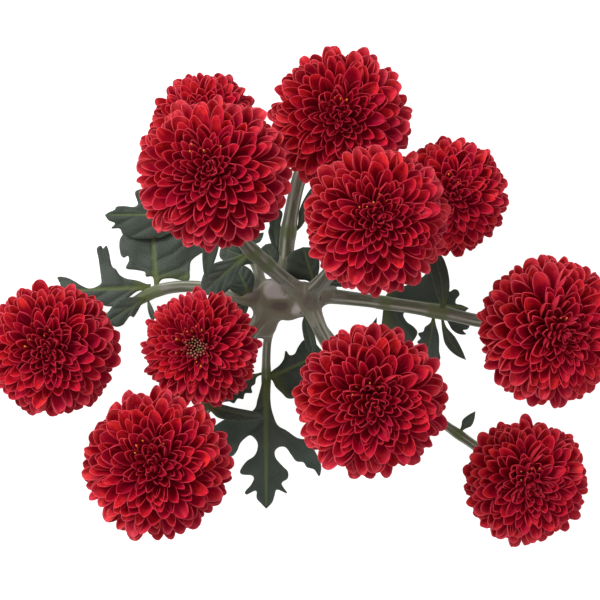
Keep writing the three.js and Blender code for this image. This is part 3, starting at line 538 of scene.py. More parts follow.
def floret_finish():
    """The few open disc florets: orange-yellow with olive at the foot."""
    paint = Paint("floret_yellow")
    [along] = paint.painted("along")
    grain = paint.noise(paint.place(), 1.1)
    skin = paint.mix(paint.ramp(along, 0.3, 0.9), colour(104, 84, 20), colour(226, 128, 28))
    skin = paint.mix(paint.ramp(grain, 0.45, 0.6) * 0.6, skin, colour(196, 60, 30))
    return paint.surface(Base_Color=skin, Roughness=0.6)


def bud_finish():
    """Closed buds: beige-green, flushed with pink."""
    paint = Paint("bud_beige")
    [along] = paint.painted("along")
    grain = paint.noise(paint.place(), 0.6)
    tips = paint.mix(paint.ramp(grain, 0.4, 0.6), colour(112, 104, 58), colour(168, 84, 84))
    skin = paint.mix(paint.ramp(along, 0.3, 1.0), colour(84, 30, 30), tips)
    return paint.surface(Base_Color=skin, Roughness=0.6)


def stem_finish():
    """Olive-grey stems with a few pale ridges, lilac-brown at the nodes, olive at the leaves."""
    paint = Paint("stem_green")
    rib, node, bark, joint = paint.painted("rib", "node", "bark", "joint")
    bract, cut = paint.painted("bract", "cut")
    streaks = paint.grain((1.8, 0.1, 1.0), 4.0)
    patch = paint.grain((0.5, 0.08, 1.0))
    down = paint.grain((3.0, 1.6, 1.0), 5.0)
    blotch = paint.noise(paint.node("TexCoord", result="Object"), 170, 3.0)
    shade = bark + 0.9 * (blotch - 0.5)
    tint = paint.mix(paint.ramp(shade, -0.6, 0.05), colour(72, 58, 50), colour(98, 92, 72))
    tint = paint.mix(paint.ramp(shade, 0.1, 0.75), tint, colour(176, 170, 165))
    scale = paint.mix(paint.ramp(streaks, 0.3, 0.7), colour(60, 80, 38), colour(96, 112, 58))
    scale = paint.mix(paint.ramp(bract, 1.6, 2.0) * 0.8, scale, colour(120, 84, 58))
    pith = paint.mix(paint.ramp(down, 0.4, 0.6), colour(196, 200, 158), colour(224, 224, 196))
    skin = paint.layered(
        paint.mix(paint.ramp(rib, 0.25, 0.95), colour(68, 74, 52), colour(160, 162, 144)),
        (paint.ramp(streaks, 0.45, 0.7) * 0.45, colour(56, 64, 42)),
        (paint.ramp(patch, 0.45, 0.62) * 0.45, colour(126, 122, 118)),
        (paint.ramp(down, 0.5, 0.75) * 0.2, colour(160, 156, 140)),
        (paint.ramp(joint, 0.2, 0.9) * 0.75, colour(70, 86, 36)),
        (node * 0.88, tint),
        (paint.ramp(bract, 0.4, 0.6), scale),
        (cut, pith),
    )
    bump = paint.bumped(streaks + 0.5 * down, 0.00025, 0.6)
    return paint.surface(Base_Color=skin, Roughness=0.5 + 0.25 * down, Normal=bump,
                         Sheen_Weight=0.15, Sheen_Roughness=0.4)


def leaf_finish():
    """Dark grey-green leaves with olive midribs and stalks, greyer in patches, paler beneath."""
    paint = Paint("leaf_green")
    vein, rib, under, edge = paint.painted("vein", "rib", "under", "edge")
    tone, stalk = paint.painted("tone", "stalk")
    patch = paint.grain((0.13, 0.13, 1.0), 3.0)
    cells = paint.grain((2.4, 2.4, 1.0), 3.0)
    hairs = paint.grain((6.0, 6.0, 1.0), 4.0)
    pale = paint.mix(paint.ramp(vein, 0.3, 0.9), colour(92, 106, 86), colour(126, 136, 102))
    skin = paint.layered(
        paint.mix(paint.ramp(patch, 0.3, 0.7), colour(30, 46, 32), colour(56, 64, 54)),
        (tone, colour(92, 104, 98)),
        (paint.ramp(cells, 0.35, 0.75) * 0.4, colour(22, 32, 26)),
        (paint.ramp(hairs, 0.55, 0.8) * 0.25, colour(96, 106, 94)),
        (paint.ramp(vein, 0.4, 0.95) * 0.3, colour(70, 88, 56)),
        (paint.ramp(rib, 0.3, 0.9) * 0.75, colour(86, 100, 56)),
        (stalk * 0.7, colour(82, 94, 46)),
        (paint.ramp(edge, 0.6, 1.0) * 0.3, colour(98, 108, 88)),
        (under, pale),
    )
    bump = paint.bumped(cells + 0.4 * hairs - 0.6 * vein, 0.00022, 0.7)
    return paint.surface(Base_Color=skin, Roughness=0.46 + 0.25 * cells, Normal=bump,
                         Specular_IOR_Level=0.3)


def floor_finish():
    """A white table lit from beneath, which leaves almost no shadows."""
    paint = Paint("floor_white")
    tint = paint.noise(paint.node("TexCoord", result="Object"), 3.0)
    skin = paint.mix(tint, colour(156, 156, 156), colour(162, 162, 162))
    return paint.surface(Base_Color=skin, Roughness=0.9, Emission_Color=(1, 1, 1, 1),
                         Emission_Strength=FLOOR_GLOW, Specular_IOR_Level=0.0)


# ------------------------------------------------------------ what the pieces share

def smooth_step(share):
    held = np.clip(share, 0, 1)
    return held * held * (3 - 2 * held)


def unit(vectors):
    vectors = np.asarray(vectors, float)
    return vectors / np.linalg.norm(vectors, axis=-1, keepdims=True)


def full_turn(sides):
    return np.arange(sides) * 2 * pi / sides


def walls(rings, sides):
    """Quads all the way round between each ring of points and the next."""
    return [(i * sides + j, i * sides + (j + 1) % sides,
             (i + 1) * sides + (j + 1) % sides, (i + 1) * sides + j)
            for i in range(rings - 1) for j in range(sides)]


def closed_tube(rings, ends=None):
    """A tube through rings of points and its faces, closed to a middle point at each end."""
    count, sides = rings.shape[:2]
    ends = rings[[0, -1]].mean(1) if ends is None else ends
    faces = walls(count, sides)
    start, last = count * sides, (count - 1) * sides
    for j in range(sides):
        k = (j + 1) % sides
        faces.append((start, k, j))
        faces.append((start + 1, last + j, last + k))
    return np.concatenate([rings.reshape(-1, 3), ends]), faces


def turned(outline, sides):
    """An outline of outs and heights, from the axis back to the axis, turned round it."""
    out, up = np.transpose(outline)
    spin = full_turn(sides)
    rings = [np.stack([r * np.cos(spin), r * np.sin(spin), np.full(sides, h)], -1)
             for r, h in zip(out[1:-1], up[1:-1])]
    return closed_tube(np.array(rings), [(0, 0, up[0]), (0, 0, up[-1])])


def sheet_faces(rows, columns):
    """Quads over the front, the back and the rim of a thin sheet of points."""
    back = rows * columns
    at = np.arange(back).reshape(rows, columns)
    front = np.stack([at[:-1, :-1], at[1:, :-1], at[1:, 1:], at[:-1, 1:]], -1).reshape(-1, 4)
    border = np.concatenate([at[:, -1], at[-1, -2::-1], at[-2::-1, 0], at[0, 1:]])
    near, far = border[:-1], border[1:]
    rim = np.stack([near, far, back + far, back + near], -1)
    return np.concatenate([front, back + front[:, ::-1], rim])


def merged(parts, usual):
    """Bodies as one. A body that lacks one of the values takes the usual number for it."""
    faces, first = [], 0
    for part in parts:
        faces += [[first + corner for corner in face] for face in part[1]]
        first += len(part[0])
    values = {key: np.concatenate([part[2].get(key, np.full(len(part[0]), number))
                                   for part in parts])
              for key, number in usual.items()}
    return np.concatenate([part[0] for part in parts]), faces, values


def smooth_curve(points, per_span=24):
    """A centripetal Catmull-Rom curve through the points, as a fine line of points."""
    points = [np.array(p, float) for p in points]
    points = [2 * points[0] - points[1], *points, 2 * points[-1] - points[-2]]
    line = []
    for before, start, end, after in zip(points, points[1:], points[2:], points[3:]):
        gap_in, gap, gap_out = (sqrt(max(np.linalg.norm(b - a), 1e-9))
                                for a, b in ((before, start), (start, end), (end, after)))
        leave = (start - before) / gap_in - (end - before) / (gap_in + gap) + (end - start) / gap
        arrive = (end - start) / gap - (after - start) / (gap + gap_out) + (after - end) / gap_out
        leave, arrive = leave * gap, arrive * gap
        for step in range(per_span):
            t = step / per_span
            line.append(start + t * leave + t * t * (3 * (end - start) - 2 * leave - arrive)
                        + t ** 3 * (2 * (start - end) + leave + arrive))
    line.append(points[-2])
    return np.array(line)


def distances(line):
    return np.concatenate([[0], np.cumsum(np.linalg.norm(np.diff(line, axis=0), axis=1))])


def on_line(line, wanted):
    """The places at some distances along a line."""
    run = distances(line)
    return np.stack([np.interp(wanted, run, axis) for axis in line.T], -1)


def evenly(line, step):
    """The same line with a point about every step."""
    length = distances(line)[-1]
    return on_line(line, np.linspace(0, length, max(2, ceil(length / step) + 1)))


def add_object(name, data):
    made = bpy.data.objects.new(name, data)
    bpy.context.scene.collection.objects.link(made)
    return made


def make_piece(name, points, faces, finish, stands_for=(), values=None, uvs=None):
    """A mesh piece from points in the design's own millimetres, with a value at each point."""
    mesh = bpy.data.meshes.new(name)
    placed = (np.asarray(points) - MIDDLE) * MM
    mesh.from_pydata(placed.tolist(), [], faces)
    mesh.polygons.foreach_set("use_smooth", [True] * len(mesh.polygons))
    for key, numbers in (values or {}).items():
        numbers = np.asarray(numbers, np.float32)
        kind, item = ("FLOAT", "value") if numbers.ndim == 1 else ("FLOAT_VECTOR", "vector")
        mesh.attributes.new(key, kind, "POINT").data.foreach_set(item, numbers.ravel())
    if uvs is not None:
        flat = np.asarray(uvs, np.float32).ravel()
        mesh.uv_layers.new(name=BAKE_MAP).data.foreach_set("uv", flat)
    mesh.materials.append(finish)
    piece = add_object(name, mesh)
    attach(piece, "root")
    if stands_for:
        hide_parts(*stands_for)


# ------------------------------------------------------------ blooms

def bloom_turn(bloom):
    """The matrix that leans a bloom, which is modelled with its face straight up."""
    lean_x, lean_y = (tan(radians(angle)) for angle in bloom["lean"])
    axis = Vector((lean_x, lean_y, 1)).normalized()
    return np.array(Vector((0, 0, 1)).rotation_difference(axis).to_matrix())


def placed_in(bloom, points):
    """Points of a bloom with its face straight up, put where they are in the spray."""
    return points @ bloom_turn(bloom).T + bloom["at"]


def on_ball(polar, reach):
    """How far out from the bloom's axis, and up from its middle, a point of the ball is."""
    below = np.maximum(0, polar - pi / 2)
    out = reach * np.sin(polar) * (1 - TUCK * below)
    up = reach * np.cos(polar) * np.where(polar < pi / 2, CROWN, SKIRT)
    return out, up


def petal_places(phase):
    """Each petal's angle from the bloom's axis, its turn round it and the spacing there."""
    polar = np.linspace(0, LAST_POLAR, 600)
    cell = CELL_MIDDLE + (CELL_OUTER - CELL_MIDDLE) * smooth_step(polar / CELL_FULL_AT)
    count = np.cumsum(2 * pi * np.sin(polar) / cell ** 2) * (polar[1] - polar[0])
    number = np.arange(int(count[-1]))
    at = np.interp(number + 0.5, count, polar)
    return at, phase + number * GOLDEN_TURN, np.interp(at, polar, cell)


def petal_faces():
    """One petal's faces, and which side and which flat place of it each corner is on."""
    faces = sheet_faces(len(PETAL_ROWS), len(PETAL_COLUMNS))
    flat = np.stack(np.meshgrid(PETAL_COLUMNS, PETAL_ROWS), -1).reshape(-1, 2)
    side, spots = faces // len(flat), flat[faces % len(flat)]
    rim = side[:, 0] != side[:, 2]
    run = spots[rim, 1] - spots[rim, 0]
    spots[rim, 2:] += TILE_MARGIN * unit(run[:, ::-1] * (1, -1))[:, None]
    side[rim] = 0
    return faces, side, spots


def tile_uvs(side, spots, count):
    """UVs that give each petal's front and back a square tile of their own."""
    tiles = ceil(sqrt(2 * count))
    tile = 2 * np.arange(count)[:, None, None] + side
    u = (tile % tiles + 0.5 + 0.4 * spots[..., 0]) / tiles
    v = (tile // tiles + 0.1 + 0.8 * spots[..., 1]) / tiles
    return np.stack([u, v], -1)


def petal_centrelines(polar, reach, curl):
    """Each petal's middle line from deep in the bloom to its tip, as out and up, in radii."""
    depth = polar / LAST_POLAR
    foot = np.array([SEAT_RADIUS * 0.9 * depth, 0.02 - SEAT + 0 * depth])
    tip = np.array(on_ball(polar, reach))
    arm = reach * (0.62 - 0.34 * depth ** 2)
    knee = tip - arm * np.array([np.sin(polar + curl), np.cos(polar + curl)])
    start = 0.42 * (1 - depth ** 6)
    t = start + (1 - start) * PETAL_ROWS
    line = (1 - t) ** 2 * foot + 2 * t * (1 - t) * knee + t ** 2 * tip
    along = (1 - t) * (knee - foot) + t * (tip - knee)
    return line, along / np.hypot(*along)


def petal_half_width(pointed):
    """Share of the full half width along a petal, which ends round or a little pointed."""
    rise = 0.42 + 0.58 * smooth_step(PETAL_ROWS / WIDEST)
    past = np.clip((PETAL_ROWS - WIDEST) / (1 - WIDEST), 0, 1)
    return rise * np.maximum(1 - past ** pointed, 0.012) ** 0.55


def petal_section(width, pointed, open_more, spoon_more, fold_more):
    """How far sideways and up from a petal's middle line the points of its cupped sheet are."""
    half = width * petal_half_width(pointed)
    opening = ARC - ARC_LESS * smooth_step(PETAL_ROWS / ARC_SHOULDER)
    opening = opening + ARC_UNEVEN * open_more * PETAL_ROWS
    arc = opening * PETAL_COLUMNS
    across = half * np.sin(arc) / np.sin(opening)
    lift = half * (1 - np.cos(arc)) / np.sin(opening)
    fold = FOLD + FOLD_UNEVEN * fold_more
    crease = half * np.tan(opening / 2) * np.abs(PETAL_COLUMNS) ** 1.2
    across = (1 - fold) * across + fold * half * PETAL_COLUMNS
    lift = (1 - fold) * lift + fold * crease
    past = np.clip((PETAL_ROWS - SPOON_FROM) / (1 - SPOON_FROM), 0, 1)
    lift = lift + width * past ** 2 * (SPOON + SPOON_UNEVEN * spoon_more)
    thick = PETAL_THICK * PETAL_FACES * (1 - 0.4 * PETAL_COLUMNS ** 2)
    return across - thick * np.sin(arc), lift + thick * np.cos(arc)


def bloom_petals(bloom, number):
    """The points, faces, values and UVs of a bloom's petals.

    The arrays run over petals, the inside and the back of each, its rows and its columns.
    """
    random = np.random.default_rng(number)
    young = number == YOUNG_BLOOM
    places = np.array(petal_places(number))
    if young:
        places = places[:, places[0] > YOUNG_DISC]
    polar, turn, cell = places[..., None, None, None]
    count = len(polar)
    each_petal = (count, 1, 1, 1)
    spread = random.uniform(-1, 1, (9, *each_petal))
    radius = bloom["radius"]
    astray = PETAL_ASTRAY * cell * smooth_step(polar / radians(30))
    turn = turn + astray * spread[1] / np.sin(polar)
    polar = polar + astray * spread[0]
    reach = PETAL_REACH * (1 - PETAL_UNEVEN * (0.5 + 0.5 * spread[2]))
    curl = np.radians(np.interp(np.degrees(polar), *PETAL_BEND)) + BEND_UNEVEN * spread[3]
    line, along = petal_centrelines(polar, reach, curl)

    width = radius * PETAL_WIDE * cell * (1 + WIDTH_UNEVEN * spread[4])
    width = width * (YOUNG_WIDTH if young else 1)
    pointed = (YOUNG_POINTED if young else POINTED) + POINTED_UNEVEN * spread[5]
    across, lift = petal_section(width, pointed, *spread[6:])
    roll = PETAL_ROLL * random.uniform(-1, 1, each_petal)
    across, lift = (across * np.cos(roll) - lift * np.sin(roll),
                    across * np.sin(roll) + lift * np.cos(roll))
    across = across + PETAL_SWAY * random.uniform(-1, 1, each_petal) * width * PETAL_ROWS ** 2

    out = radius * line[0] - lift * along[1]
    up = radius * line[1] + lift * along[0]
    points = np.stack([out * np.cos(turn) - across * np.sin(turn),
                       out * np.sin(turn) + across * np.cos(turn), up], -1).reshape(-1, 3)

    def at_points(numbers):
        return np.broadcast_to(numbers, up.shape).ravel()

    # Painted shade: petals on the side away from the key light get a darker tone, on top of its
    # random unevenness.
    away = np.sin(polar) * (np.cos(turn) - np.sin(turn)) / sqrt(2)
    tone = random.normal(TONE, TONE_UNEVEN, each_petal) + SHADE_AWAY * away
    apart = np.arange(count).reshape(each_petal) * PETAL_APART
    values = {
        "along": at_points(PETAL_ROWS),
        "rim": at_points(np.maximum(PETAL_COLUMNS ** 2, PETAL_ROWS ** 8)),
        "inside": at_points(PETAL_FACES + 0.5),
        "outward": at_points(np.clip(polar / LAST_POLAR, 0, 1)),
        "tone": at_points(np.clip(tone, 0, TONE_MOST)),
        "place": np.stack([at_points(PETAL_COLUMNS * width),
                           at_points(PETAL_ROWS * radius * 0.5), at_points(apart)], -1),
    }
    template, side, spots = petal_faces()
    faces = template + up[0].size * np.arange(count)[:, None, None]
    return points, faces.reshape(-1, 4).tolist(), values, tile_uvs(side, spots, count)


def make_bloom(number, bloom, finish):
    points, faces, values, uvs = bloom_petals(bloom, number)
    name = f"bloom_{number}"
    make_piece(f"{name}_petals", placed_in(bloom, points), faces, finish, [name],
               values, uvs)


def make_heart(number, bloom, finish):
    """The solid that the petals stand in, under their tips."""
    outline = [(0, -SEAT), (SEAT_RADIUS, -SEAT)]
    outline += zip(*on_ball(np.linspace(HEART_END, 0, HEART_RINGS), CORE))
    points, faces = turned(bloom["radius"] * np.array(outline), HEART_SIDES)
    make_piece(f"bloom_{number}_heart", placed_in(bloom, points), faces, finish,
               values={"place": points})


def lathed(foot, axis, size, profile, sides=6):
    """A small turned body from its foot along an axis; profile holds its outs and heights."""
    side = unit(np.cross(axis, (0.3, 1, 0.2)))
    other = np.cross(axis, side)
    top = profile[-1][1]
    points = [foot + size * height * axis + size * out * (cos(spin) * side + sin(spin) * other)
              for out, height in profile[:-1] for spin in full_turn(sides)]
    points.append(foot + size * top * axis)
    along = [height / top for _, height in profile[:-1] for _ in range(sides)] + [1.0]
    last = (len(profile) - 2) * sides
    faces = walls(len(profile) - 1, sides)
    faces += [(len(points) - 1, last + j, last + (j + 1) % sides) for j in range(sides)]
    faces.append(tuple(range(sides - 1, -1, -1)))
    return np.array(points), faces, {"along": along}


def floret_at(bloom, polar, turn, reach, size, profile, splay):
    """A floret at an angle from the bloom's axis, which splays outwards."""
    out, up = on_ball(polar, reach)
    foot = bloom["radius"] * np.array([out * cos(turn), out * sin(turn), up])
    axis = unit((splay * cos(turn), splay * sin(turn), 1))
    return lathed(foot, axis, size, profile)


def make_disc(name, bloom, parts, finish):
    """Florets or buds as one piece."""
    points, faces, values = merged(parts, {"along": 0.0})
    values["place"] = points
    make_piece(name, placed_in(bloom, points), faces, finish, values=values)


def make_florets(number, bloom, finish):
    """A short arc of open disc florets, which show between the innermost petals."""
    random = np.random.default_rng(FLORET_SEED + number)
    parts = []
    for middle, count in YOUNG_ARCS if number == YOUNG_BLOOM else ARCS:
        middle += random.uniform(-0.2, 0.2)
        for i in range(count):
            turn = middle + (i - (count - 1) / 2) * random.uniform(0.25, 0.45)
            polar = radians(random.uniform(*FLORET_PLACES))
            parts.append(floret_at(bloom, polar, turn, random.uniform(0.78, 0.9),
                                   random.uniform(0.7, 1.1), FLORET, 0.5))
    make_disc(f"bloom_{number}_florets", bloom, parts, finish)


def make_buds(bloom, finish):
    """The disc of closed buds in the middle of the young bloom."""
    random = np.random.default_rng(YOUNG_BLOOM)
    parts = []
    for i in range(BUDS):
        polar = YOUNG_DISC * sqrt((i + 0.5) / BUDS)
        reach = 0.86 - 0.12 * cos(polar / YOUNG_DISC * pi / 2)
        parts.append(floret_at(bloom, polar, i * GOLDEN_TURN, reach, random.uniform(0.8, 1.2),
                               BUD, 0.1))
    make_disc(f"bloom_{YOUNG_BLOOM}_buds", bloom, parts, finish)


# ------------------------------------------------------------ stems

def stem_line(key):
    """The middle line of a stem. A peduncle's last two points bring it in line with its bloom."""
    points = list(STEMS[key][1])
    if key != "main":
        bloom = BLOOMS[key]
        axis = bloom_turn(bloom)[:, 2]
        for share in (SEAT + CUP_DEPTH + NECK, SEAT + NECK_SUNK * CUP_DEPTH):
            points.append(np.array(bloom["at"]) - share * bloom["radius"] * axis)
    return smooth_curve(points)


STEM_LINES = {key: stem_line(key) for key in STEMS}


def tube_frames(line):
    """Two directions across a line at each of its points, which don't twist along it."""
    heading = unit(np.gradient(line, axis=0))
    side = np.cross(heading[0], (0.2, 0.1, 1))
    sides = []
    for direction in heading:
        side = unit(side - np.dot(side, direction) * direction)
        sides.append(side)
    sides = np.array(sides)
    return sides, np.cross(heading, sides)


def stem_ridges(turn, random):
    """How far each direction round a stem lies up one of its few uneven ridges, from 0 to 1."""
    ridge = np.zeros_like(turn)
    for i in range(STEM_RIBS):
        middle = (i + random.uniform(-0.28, 0.28)) * 2 * pi / STEM_RIBS
        apart = np.abs((turn - middle + pi) % (2 * pi) - pi)
        tall = random.uniform(0.45, 1.0)
        ridge = np.maximum(ridge, tall * np.exp(-(apart / random.uniform(0.2, 0.34)) ** 2))
    return ridge


def stem_tube(key, random):
    """A ridged tube along a stem, which swells at its node, at its leaves and under its bloom."""
    radius = STEMS[key][0]
    line = evenly(STEM_LINES[key], STEM_STEP)
    run = distances(line)
    joint = np.zeros(len(run))
    for leaf in LEAVES.values():
        if leaf.stem == key:
            apart = (run - leaf.share * run[-1]) / JOINT_REACH
            joint = np.maximum(joint, np.exp(-apart ** 2))
    swell = 1 + FOOT_SWELL * np.exp(-run / FOOT_REACH) + JOINT_SWELL * joint
    swell = swell * (0.5 + 0.5 * smooth_step(run / 3.5))
    if key != "main":
        size = BLOOMS[key]["radius"]
        to_cup = np.maximum(run[-1] - run - NECK_SUNK * CUP_DEPTH * size, 0)
        wider = CUP_FOOT * CUP_RADIUS * size / radius - 1
        swell = swell + wider * np.exp(-to_cup / CUP_REACH)
    swell = swell * (1 + 0.03 * np.sin(run / 4.1 + random.uniform(0, 6)))
    turn = full_turn(STEM_SIDES)
    rib = stem_ridges(turn, random)
    width = radius * swell[:, None] * (1 - RIB_DEPTH + RIB_DEPTH * rib)
    side, other = tube_frames(line)
    twist = turn + (random.uniform(-STEM_TWIST, STEM_TWIST) * run)[:, None]
    points, faces = closed_tube(line[:, None] + width[..., None] * (
        np.cos(twist)[..., None] * side[:, None] + np.sin(twist)[..., None] * other[:, None]
    ), line[[0, -1]])

    def at_points(numbers, ends):
        return np.append(np.broadcast_to(numbers, width.shape), ends)

    apart = STEM_APART * list(STEMS).index(key)
    values = {
        "rib": at_points(rib, [0.5, 0.5]),
        "joint": at_points(joint[:, None], joint[[0, -1]]),
        "place": np.stack([at_points(turn * radius, [0, 0]),
                           at_points(run[:, None], run[[0, -1]]), at_points(apart, [0, 0])], -1),
    }
    if key == "main":
        values["cut"] = np.append(np.zeros(len(points) - 1), 1.0)
    return points, faces, values


def cup_side(radius, bottom, top, brim, per_span):
    """The line up the side of a cup, as outs and heights."""
    rim = CUP_RADIUS * radius
    belly = (CUP_BELLY[0] * rim, bottom + CUP_BELLY[1] * (top - bottom))
    return smooth_curve([(CUP_FOOT * rim, bottom), belly, (brim * rim, top)], per_span)


def cup_bowl(bloom):
    """The smooth green bowl under a bloom."""
    top = -SEAT * bloom["radius"] - GAP * 0.2
    bottom = top - CUP_DEPTH * bloom["radius"]
    line = cup_side(bloom["radius"], bottom, top, BOWL_BRIM, 5)
    points, faces = turned([(0, bottom), *line, (0, top)], BOWL_SIDES)
    return placed_in(bloom, points), faces, {"bract": np.ones(len(points)), "place": points}


def cup_bracts(number, bloom):
    """Three rows of small pointed scales that lie over the bowl."""
    random = np.random.default_rng(CUP_SEED + number)
    top = -SEAT * bloom["radius"]
    bottom = top - CUP_DEPTH * bloom["radius"] - GAP
    line = evenly(cup_side(bloom["radius"], bottom, top, 1, 12), 0.1)
    length = distances(line)[-1]
    rows, columns = BRACT_ROWS, BRACT_COLUMNS
    front = np.array([1.0, 0.0])[:, None, None]
    template = sheet_faces(len(rows), len(columns))[:, [0, 3, 2, 1]].tolist()
    bract = 1 + np.where(front > 0, np.abs(columns) ** 3 + 0 * rows, 0.5)
    parts = []
    for ring, (start, end, each) in enumerate(BRACTS):
        for i in range(each):
            turn = (i + 0.5 * (ring % 2) + 0.12 * random.uniform(-1, 1)) * 2 * pi / each
            tall = end * random.uniform(0.94, 1.0)
            at = (start + (tall - start) * rows) * length
            out, up = np.moveaxis(on_line(line, at), -1, 0)
            half = BRACT_WIDE * 2 * pi * out.max() / each
            half = half * (1 - rows ** 3) ** 0.8 * (0.75 + 0.25 * rows)
            angle = turn + columns * half / np.maximum(out, 1)
            proud = 0.25 - 0.07 * ring + 0.2 * rows
            reach = out + front * proud * (1 - 0.6 * columns ** 2)
            points = (reach * np.cos(angle), reach * np.sin(angle), up)
            place = (2 * columns * half, up, 5.0 * i + 40 * ring)
            points, place = (np.stack(np.broadcast_arrays(*axes, reach)[:3], -1).reshape(-1, 3)
                             for axes in (points, place))
            parts.append((points, template, {"bract": bract.ravel(), "place": place}))
    points, faces, values = merged(parts, {"bract": 0.0, "place": 0.0})
    return placed_in(bloom, points), faces, values


def node_knob(middle, half):
    """A swollen node, where peduncles part."""
    rings, sides = 12, 24
    points, faces = [], []
    for i in range(rings + 1):
        polar = pi * i / rings
        for j in range(sides):
            turn = 2 * pi * j / sides
            bulge = 1 + 0.05 * sin(3 * turn + 1) * sin(polar) + 0.02 * sin(5 * turn + 3 * polar)
            points.append((half[0] * bulge * sin(polar) * cos(turn),
                           half[1] * bulge * sin(polar) * sin(turn),
                           half[2] * cos(polar)))
    for i in range(rings):
        for j in range(sides):
            a, b = i * sides + j, i * sides + (j + 1) % sides
            if i == 0:
                faces.append((j, sides + j, sides + (j + 1) % sides))
            elif i == rings - 1:
                faces.append((a, rings * sides, b))
            else:
                faces.append((a, a + sides, b + sides, b))
    return np.array(points) + middle, faces


def remeshed(points, faces, cell):
    """The one skin round overlapping closed bodies, in cells of an even size."""
    mesh = bpy.data.meshes.new("bodies")
    mesh.from_pydata(points.tolist(), [], faces)
    bodies = add_object("bodies", mesh)
    skin = bodies.modifiers.new("skin", "REMESH")
    skin.mode = "VOXEL"
    skin.voxel_size = cell
    ready = bodies.evaluated_get(bpy.context.evaluated_depsgraph_get()).to_mesh()
    places = np.empty(3 * len(ready.vertices))
    ready.vertices.foreach_get("co", places)
    found = [tuple(face.vertices) for face in ready.polygons]
    bpy.data.objects.remove(bodies)
    bpy.data.meshes.remove(mesh)
    return places.reshape(-1, 3), found


def relaxed(points, faces, rounds):
    """Points drawn towards their neighbours' middle, round after round."""
    corners = np.array(faces)
    first = corners.ravel()
    second = np.roll(corners, -1, axis=1).ravel()
    starts, ends = np.concatenate([first, second]), np.concatenate([second, first])
    count = np.bincount(starts, minlength=len(points))[:, None]
    for _ in range(rounds):
        sums = np.stack([np.bincount(starts, points[ends, axis], len(points))
                         for axis in range(3)], -1)
        points = 0.5 * points + 0.5 * sums / count
    return points


def outward_normals(points, faces):
    corners = points[np.array(faces)]
    face_normals = np.cross(corners[:, 2] - corners[:, 0], corners[:, 3] - corners[:, 1])
    normals = np.zeros_like(points)
    for column in np.array(faces).T:
        np.add.at(normals, column, face_normals)
    return unit(normals)


def grown_together(tubes):
    """The skin that fills the creases where the stems part, over the swollen nodes."""
    middle = np.mean([at for at, _ in KNOBS], axis=0)
    bodies = [node_knob(*knob) for knob in KNOBS]
    for tube in tubes:
        rings = tube[0][:-2].reshape(-1, STEM_SIDES, 3)
        near = int((np.linalg.norm(rings.mean(1) - middle, axis=1) < NODE_REACH).sum())
        bodies.append(closed_tube(rings[:max(3, near)]))
    points, faces, _ = merged(bodies, {})
    skin, quads = remeshed(points, faces, NODE_CELL)
    skin = relaxed(skin, quads, 3)
    skin = skin + NODE_WEB * outward_normals(skin, quads)
    skin, quads = remeshed(skin, quads, NODE_CELL)
    skin = relaxed(skin, quads, NODE_ROUNDS)
    skin = skin - (NODE_WEB - NODE_SWELL) * outward_normals(skin, quads)
    return skin, quads, {"rib": np.full(len(skin), 0.5), "place": skin}


def node_values(points):
    """How much each point belongs to the swollen nodes, and how pale or dark its bark is there."""
    apart = np.min([np.linalg.norm((points - middle) / half, axis=1) for middle, half in KNOBS], 0)
    bark = sum(much * np.exp(-(((points[:, :2] - middle) / half) ** 2).sum(1))
               for middle, half, much in BARK)
    return smooth_step((NODE_EDGE - apart) / NODE_FADE), bark


def make_stem(finish):
    """All the stems and cups as one piece."""
    random = np.random.default_rng(STEM_SEED)
    parts = [stem_tube(key, random) for key in STEMS]
    parts.append(grown_together(parts))
    for number, bloom in BLOOMS.items():
        parts += [cup_bowl(bloom), cup_bracts(number, bloom)]
    usual = {"rib": 0.3, "joint": 0.0, "bract": 0.0, "cut": 0.0, "place": 0.0}
    points, faces, values = merged(parts, usual)
    points[:, 2] = np.maximum(points[:, 2], 0)
    values["node"], values["bark"] = node_values(points)
    make_piece("stems_and_cups", points, faces, finish, ["stem"], values)


# ------------------------------------------------------------ leaves

def leaf_frame(leaf):
    """A leaf's base, its length, its three directions and the side that its stem lies on."""
    line = STEM_LINES[leaf.stem]
    start = leaf.share * distances(line)[-1]
    at, ahead = on_line(line, [start, start + 0.1])
    heading = unit(ahead - at)
    side = unit(leaf.side - np.dot(leaf.side, heading) * heading)
    base = at + side * (STEMS[leaf.stem][0] + GAP + LEAF_SEAT)
    along = np.array(leaf.tip) - base
    across = unit(np.cross((0, 0, 1), along))
    return base, np.linalg.norm(along), unit(along), across, unit(np.cross(along, across)), side


def leaf_border(leaf, length):
    """The leaf's flat outline, from the base up its left edge and down its right one."""
    halves = []
    for half, sign in zip(OUTLINES[leaf.outline], (1, -1)):
        run = [(share * length, sign * out * leaf.spread) for share, out in half]
        run = [(-LEAF_CLASP, 1.15 * run[0][1])] + run
        halves.append(evenly(smooth_curve(run, 8), LEAF_EDGE_STEP))
    left, right = halves
    return np.concatenate([left, right[-2::-1]])


def inside_border(points, border):
    """Whether each flat point lies inside the closed border."""
    x, y = points[:, 0][:, None], points[:, 1][:, None]
    x0, y0 = border.T
    x1, y1 = np.roll(border, -1, axis=0).T
    spans = (y0 > y) != (y1 > y)
    crossing = x0 + (y - y0) * (x1 - x0) / np.where(y1 == y0, 1e-9, y1 - y0)
    return (spans & (x < crossing)).sum(1) % 2 == 1


def distance_to(points, starts, ends):
    """Each point's distance to the nearest of some segments."""
    run = ends - starts
    offset = points[:, None] - starts[None]
    share = (offset * run).sum(-1) / np.maximum((run ** 2).sum(-1), 1e-9)
    nearest = starts + np.clip(share, 0, 1)[..., None] * run
    return np.linalg.norm(points[:, None] - nearest, axis=-1).min(1)


